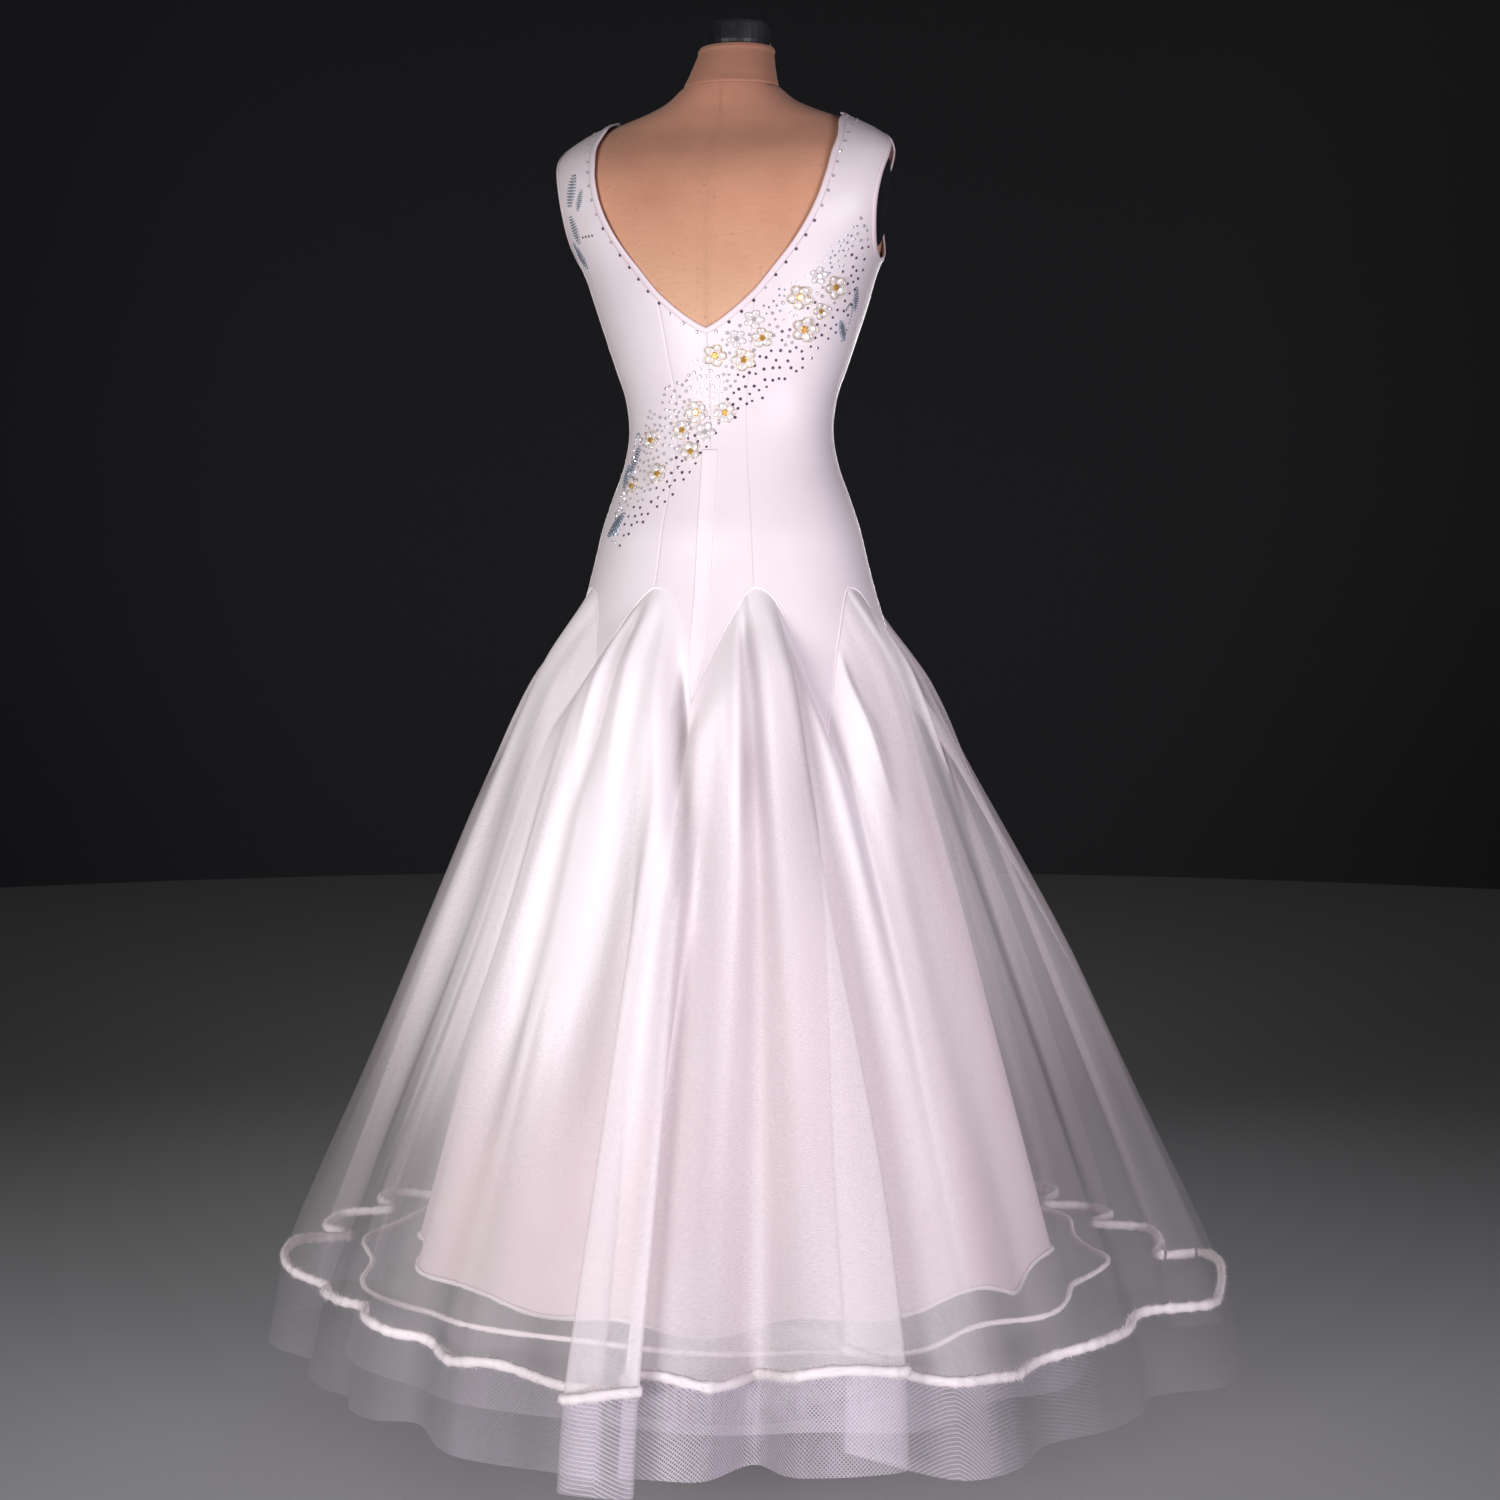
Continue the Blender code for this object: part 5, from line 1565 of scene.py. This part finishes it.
def withTroughs(grid, below, detail=troughDetail):
    # below: how far each point hangs under the arched seam
    angle = np.degrees(angleOf(grid))
    radius = np.hypot(grid[..., 0], grid[..., 1])
    height = grid[..., 2]
    lift, fullness = np.zeros(angle.shape), np.ones(angle.shape)
    for trough in troughs:
        share = (trough.high - height) / (trough.high - trough.low)
        centre = trough.topAngle + (trough.lowAngle - trough.topAngle) * share
        away = np.radians((angle - centre + 180) % 360 - 180) * radius
        window = smoothStep(below / detail["topFade"])
        window = window * smoothStep((height - trough.low + detail["lowest"]) / detail["lowFade"])
        sided = away / (trough.width * np.where(away < 0, detail["steepSide"], detail["softSide"]))
        cut = np.exp(-sided ** 2)
        ridge = np.exp(-((sided + detail["ridgeAt"]) / detail["ridgeWidth"]) ** 2)
        lift += window * trough.depth * (detail["ridgeShare"] * ridge - cut)
        change = detail["ridgeFullness"] * ridge - detail["cutFullness"] * cut
        fullness *= 1 + window * trough.depth * change
    grid[..., :2] += grid[..., :2] / radius[..., None] * lift[..., None]
    return grid, fullness


# Gathers here and there: the angle of the middle in degrees from centre back, the reach, and the change.
Gather = namedtuple("Gather", "middle reach change")
gatherDetail = {
    "sides": (Gather(112, 44, -0.48), Gather(-80, 40, -0.25), Gather(12, 50, 0.30)),
    "left": Gather(-38, 30, 2.3),          # high up, where the skirt is gathered close
    "middle": Gather(20, 21, 1.0),         # over the low folds
    "underSeam": ((0.70, 1.80), (0.24, 1.3)),     # how far down, and how much
    "streaks": (21, 0.5, 0.30),            # how many, how they wander down the skirt, and how much
    "fineStreaks": (60, 0.8, 0.14),
    "limits": (0.55, 1.6),
}


def gathered(grid, below, seed, detail=gatherDetail):
    # how closely the cloth is gathered: most under the seam, and in streaks
    angle = angleOf(grid)
    height = grid[..., 2]

    def part(gather):
        return gather.change * np.exp(-((np.degrees(angle) - gather.middle) / gather.reach) ** 4)

    side = 0.95 + sum(map(part, detail["sides"]))
    close = 0.48 + sum(much * smoothStep(1 - below / far) for far, much in detail["underSeam"])
    close += part(detail["left"]) * smoothStep((height - 0.28) / 0.28)
    close += part(detail["middle"]) * (1 - smoothStep((height - 0.10) / 0.45))
    folds = 1.0
    for step, key in enumerate(("streaks", "fineStreaks")):
        many, wander, much = detail[key]
        line = softNoise(seed + step, many * np.cos(angle), many * np.sin(angle) + height * wander)
        folds = folds + much * line
    return side * close * np.clip(folds, *detail["limits"])


creaseDetail = {"from": 25, "reach": 110, "change": 0.9}      # bends in radians a metre


def creased(grid, detail=creaseDetail):
    # more cloth shows along a sharp fold, where it is seen edge on
    before, after = np.roll(grid, 1, axis=1), np.roll(grid, -1, axis=1)
    step = np.linalg.norm(after - before, axis=-1) / 2 + 1e-5
    bend = np.linalg.norm(before + after - 2 * grid, axis=-1) / step ** 2
    sharp = smoothStep((bend - detail["from"]) / detail["reach"])
    return 1 + detail["change"] * (np.roll(sharp, 1, axis=1) + 2 * sharp + np.roll(sharp, -1, axis=1)) / 4


def seamLine(count):
    turns = np.arange(count) / count
    return clothFrame(turns, archHeight(turns))[0]


def clothSpots(grid):
    # cloth coordinates for a closed grid whose last row is its widest, with one more column
    across = reachAlong(rejoined(grid[-1]))
    steps = np.linalg.norm(np.diff(grid, axis=0), axis=-1)
    down = np.concatenate([np.zeros((1, grid.shape[1])), np.cumsum(steps, axis=0)])
    down = np.concatenate([down, down[:, :1]], axis=1)
    return np.stack([np.broadcast_to(across, down.shape), down], axis=-1)


def hungMesh(name, grid, flat, material, fullness=None):
    # a closed grid that was made from its top down
    return gridMesh(name, [(grid[::-1], flat[::-1])], material, closed=True, fullness=fullness)


def numbered(name, count):
    return [f"{name}_{k + 1}" for k in range(count)]


def makeOuterSkirt(detail):
    fine = detail["columnsPerStep"]
    hem = hemPoints(fine)
    angles = smoothedAngles(hem, foldWindow * fine)
    top = seamLine(len(hem))
    reach = 1 - bandWidth / (top[:, 2] - hem[:, 2])
    shares = np.linspace(0, 1, detail["rows"])[:, None] ** 1.15
    bandShares = np.linspace(0, 1, detail["bandRows"])[:, None]
    drops = np.concatenate([reach * shares, reach + (1 - reach) * bandShares[1:]])
    spreads = smoothCurve(spreadDrops, spreadShares, drops)
    grid = skirtPoints(top, hem, angles, meanHemRadius, drops, spreads)
    below = top[:, 2] - grid[..., 2]
    grid, fullness = withTroughs(grid, below)
    fullness = fullness * gathered(grid, below, 41)
    last = detail["rows"] - 1
    bandFullness = fullness[last:][::-1] * detail["bandFullness"]
    fullness = fullness * creased(grid)
    around = unit(grid[..., :2])
    x, y = around[..., 0], around[..., 1]
    ripple = softNoise(11, 26 * x, 26 * y + grid[..., 2] * 1.5)
    ripple = ripple * smoothStep(below / 0.12) * smoothStep((1 - drops) / 0.25 + 0.25) * detail["ripple"]
    grid[..., :2] += around * ripple[..., None]
    wave = softNoise(17, 14 * x, 14 * y) * smoothStep((drops - 0.55) / 0.34)
    grid[..., 2] += detail["hemWave"] * wave * smoothStep((1 - drops) / 0.09)
    flat = clothSpots(grid)
    skirt = hungMesh("outerSkirt", grid[:last + 1], flat[:last + 1], organza, fullness[:last + 1][::-1])
    band = hungMesh("outerHemBand", grid[last:], flat[last:], braidCloth, bandFullness)
    gores = numbered("outer_gore", 8)
    declareCloth(skirt, gores, "organza")
    declareCloth(band, ["outer_hem_braid"], "horsehair_braid")
    return grid[last]


outerEdge = makeOuterSkirt(outerSkirtDetail)


hemLineDetail = {
    "spacing": 0.0028,
    "halfHeight": 0.0055,
    "halfDepth": 0.0042,
    "unevenness": 0.13,
    "fluffDensity": 90000.0,
    "fluffLength": 0.0042,
}


def outwardOf(points):
    return unit(points * [1, 1, 0])


def makeHemLine(name, path, size, detail, seed):
    # a fluffy cord sewn along a hem: its girth wanders from stitch to stitch
    line, ways = evenly(path, outwardOf(path), detail["spacing"])
    run = np.arange(len(line)) * detail["spacing"] / 0.004
    girth = 1 + detail["unevenness"] * softNoise(seed, run, run * 0.37)
    profile = ovalProfile(detail["halfDepth"] * size, detail["halfHeight"] * size, 9, 0.0006)
    cord = sweep(name, line, ways, profile, cordCloth, scales=np.clip(girth, 0.55, 1.45))
    fluff = grow(name + "Fluff", cord.data.copy(), fluffTree, cordCloth, seed,
                 Density=detail["fluffDensity"] / size, Length=detail["fluffLength"] * size)
    for piece in (cord, fluff):
        settle(piece, "organza")


makeHemLine("outerHemCord", outerEdge, 1.0, hemLineDetail, 31)
print("outer skirt made")


# The two layers inside it hang in even waves.
Layer = namedtuple("Layer", "stepsIn lower hemRadius wave hemHeight")
innerLayer = Layer(1, 0.0008, 0.424, 0.013, 0.150)
liningLayer = Layer(2, 0.0016, 0.362, 0.008, 0.160)
layerStep = 0.0014
layerWaves = 12
innerBandWidth = 0.075
innerBandFlare = 0.020
layerDetail = {"columns": 288, "rows": 44, "bandRows": 10, "ripple": 0.0022, "hemWave": 0.0060}


def layerGrid(layer, detail, seed):
    top = seamLine(detail["columns"])
    angle = np.arange(detail["columns"]) / detail["columns"] * fullTurn
    inward = -outwardOf(top)
    top = top - [0, 0, layer.lower] + inward * layerStep * layer.stepsIn
    radius = layer.hemRadius + layer.wave * np.sin(layerWaves * angle)
    x, y = np.cos(angle), np.sin(angle)
    wave = detail["hemWave"] * softNoise(seed + 30, 12 * x, 12 * y)
    hem = polar(np.degrees(angle), radius, layer.hemHeight + wave)
    drops = np.linspace(0, 1, detail["rows"])[:, None]
    drops = np.broadcast_to(drops, (detail["rows"], detail["columns"]))
    grid = skirtPoints(top, hem, angle, layer.hemRadius, drops, drops)
    ripple = softNoise(seed, 9 * x, 9 * y + grid[..., 2] * 4)
    grid[..., :2] *= (1 + ripple * smoothStep(drops / 0.4) * detail["ripple"] / layer.hemRadius)[..., None]
    return grid


def makeInnerLayers(detail):
    grid = layerGrid(innerLayer, detail, 21)
    below = grid[0, :, 2] - grid[..., 2]
    fullness = gathered(grid, below, 43) * withTroughs(grid.copy(), below)[1]
    inner = hungMesh("innerSkirt", grid, clothSpots(grid), organza, fullness[::-1])
    edge = grid[-1]
    shares = np.linspace(0, 1, detail["bandRows"])[:, None, None]
    band = edge + (outwardOf(edge) * innerBandFlare - [0, 0, innerBandWidth]) * shares
    bandFullness = np.broadcast_to(fullness[-1] * outerSkirtDetail["bandFullness"], band.shape[:2])
    flare = hungMesh("innerHemBand", band, clothSpots(band), braidCloth, bandFullness)
    inside = layerGrid(liningLayer, detail, 22)
    lining = hungMesh("lining", inside, clothSpots(inside), liningCloth)
    layers, linings = numbered("inner_layer", 4), numbered("lining", 4)
    declareCloth(inner, layers, "organza")
    declareCloth(flare, ["inner_hem_braid"], "horsehair_braid")
    declareCloth(lining, linings, "lining_cloth")
    return edge, inside[-1]


innerEdge, liningEdge = makeInnerLayers(layerDetail)
makeHemLine("innerHemCord", innerEdge, 0.55, hemLineDetail, 33)
makeHemLine("liningHem", liningEdge, 0.5, hemLineDetail, 34)
print("inner layers made")


stageDetail = {
    "floorSize": 14.0,
    "floorColour": (0.55, 0.55, 0.57, 1.0),
    "backdropColour": (0.055, 0.055, 0.062, 1.0),
    "backdropHeight": 6.0,
    "backdropSides": 64,
    "world": 0.07,
}


Lamp = namedtuple("Lamp", "name place aim size power spread colour")
lamps = [
    Lamp("key light", (1.0, 3.05, 0.62), (0, 0, 0.76), (1.3, 1.1), 16.5, 76, (1, 1, 1)),
    Lamp("fill light", (-2.45, 2.1, 0.62), (0, 0, 0.74), (1.6, 1.1), 12.8, 70, (0.96, 0.93, 1.0)),
    Lamp("front light", (0.6, -2.9, 1.1), (0, 0, 1.05), (2.4, 1.2), 7.5, 50, (1, 1, 1)),
]


def areaLight(lamp):
    light = bpy.data.lights.new(lamp.name, "AREA")
    light.shape = "RECTANGLE"
    light.size, light.size_y = lamp.size
    light.energy = lamp.power
    light.spread = math.radians(lamp.spread)
    light.color = lamp.colour
    obj = placeObject(lamp.name, light)
    obj.location = lamp.place
    obj.rotation_euler = (Vector(lamp.aim) - Vector(lamp.place)).to_track_quat("-Z", "Y").to_euler()


def makeStage(detail):
    half = detail["floorSize"] / 2
    corners = [(-half, -half, 0), (half, -half, 0), (half, half, 0), (-half, half, 0)]
    floorPaint = startMaterial("floor paint", 0.85, Base_Color=detail["floorColour"])[0]
    floor = keepMesh("floor", newMesh("floor", corners, [(0, 1, 2, 3)]), floorPaint)
    count = detail["backdropSides"]
    angle = np.linspace(0, fullTurn, count, endpoint=False)
    ring = np.stack([half * 0.8 * np.cos(angle), half * 0.8 * np.sin(angle), 0 * angle], axis=-1)
    points = np.concatenate([ring, ring + [0, 0, detail["backdropHeight"]]])
    wall = newMesh("backdrop", points, facesOf(gridIndex(2, count)).tolist())
    backdropCloth = startMaterial("backdrop cloth", 0.9, Base_Color=detail["backdropColour"])[0]
    for piece in (floor, keepMesh("backdrop", wall, backdropCloth)):
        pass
    world = bpy.data.worlds.new("soft room")
    world.use_nodes = True
    background = world.node_tree.nodes["Background"]
    background.inputs["Color"].default_value = (1.0, 1.0, 1.0, 1.0)
    background.inputs["Strength"].default_value = detail["world"]
    bpy.context.scene.world = world


cameraDetail = {
    "turn": 195,                  # degrees
    "distance": 3.0,
    "height": 0.905,
    "lens": 61.8,
    "shift": (0.0127, -0.1),
}


def makeCamera(detail):
    camera = bpy.data.cameras.new("camera")
    camera.lens = detail["lens"]
    camera.sensor_width = 36.0
    camera.shift_x, camera.shift_y = detail["shift"]
    obj = placeObject("camera", camera)
    turn, distance = math.radians(detail["turn"]), detail["distance"]
    obj.location = (distance * math.sin(turn), -distance * math.cos(turn), detail["height"])
    obj.rotation_euler = (math.pi / 2, 0.0, turn)
    bpy.context.scene.camera = obj


makeStage(stageDetail)
makeCamera(cameraDetail)
for lamp in lamps:
    areaLight(lamp)
bpy.context.scene.view_settings.view_transform = "Standard"
print("stage, camera and lights made")
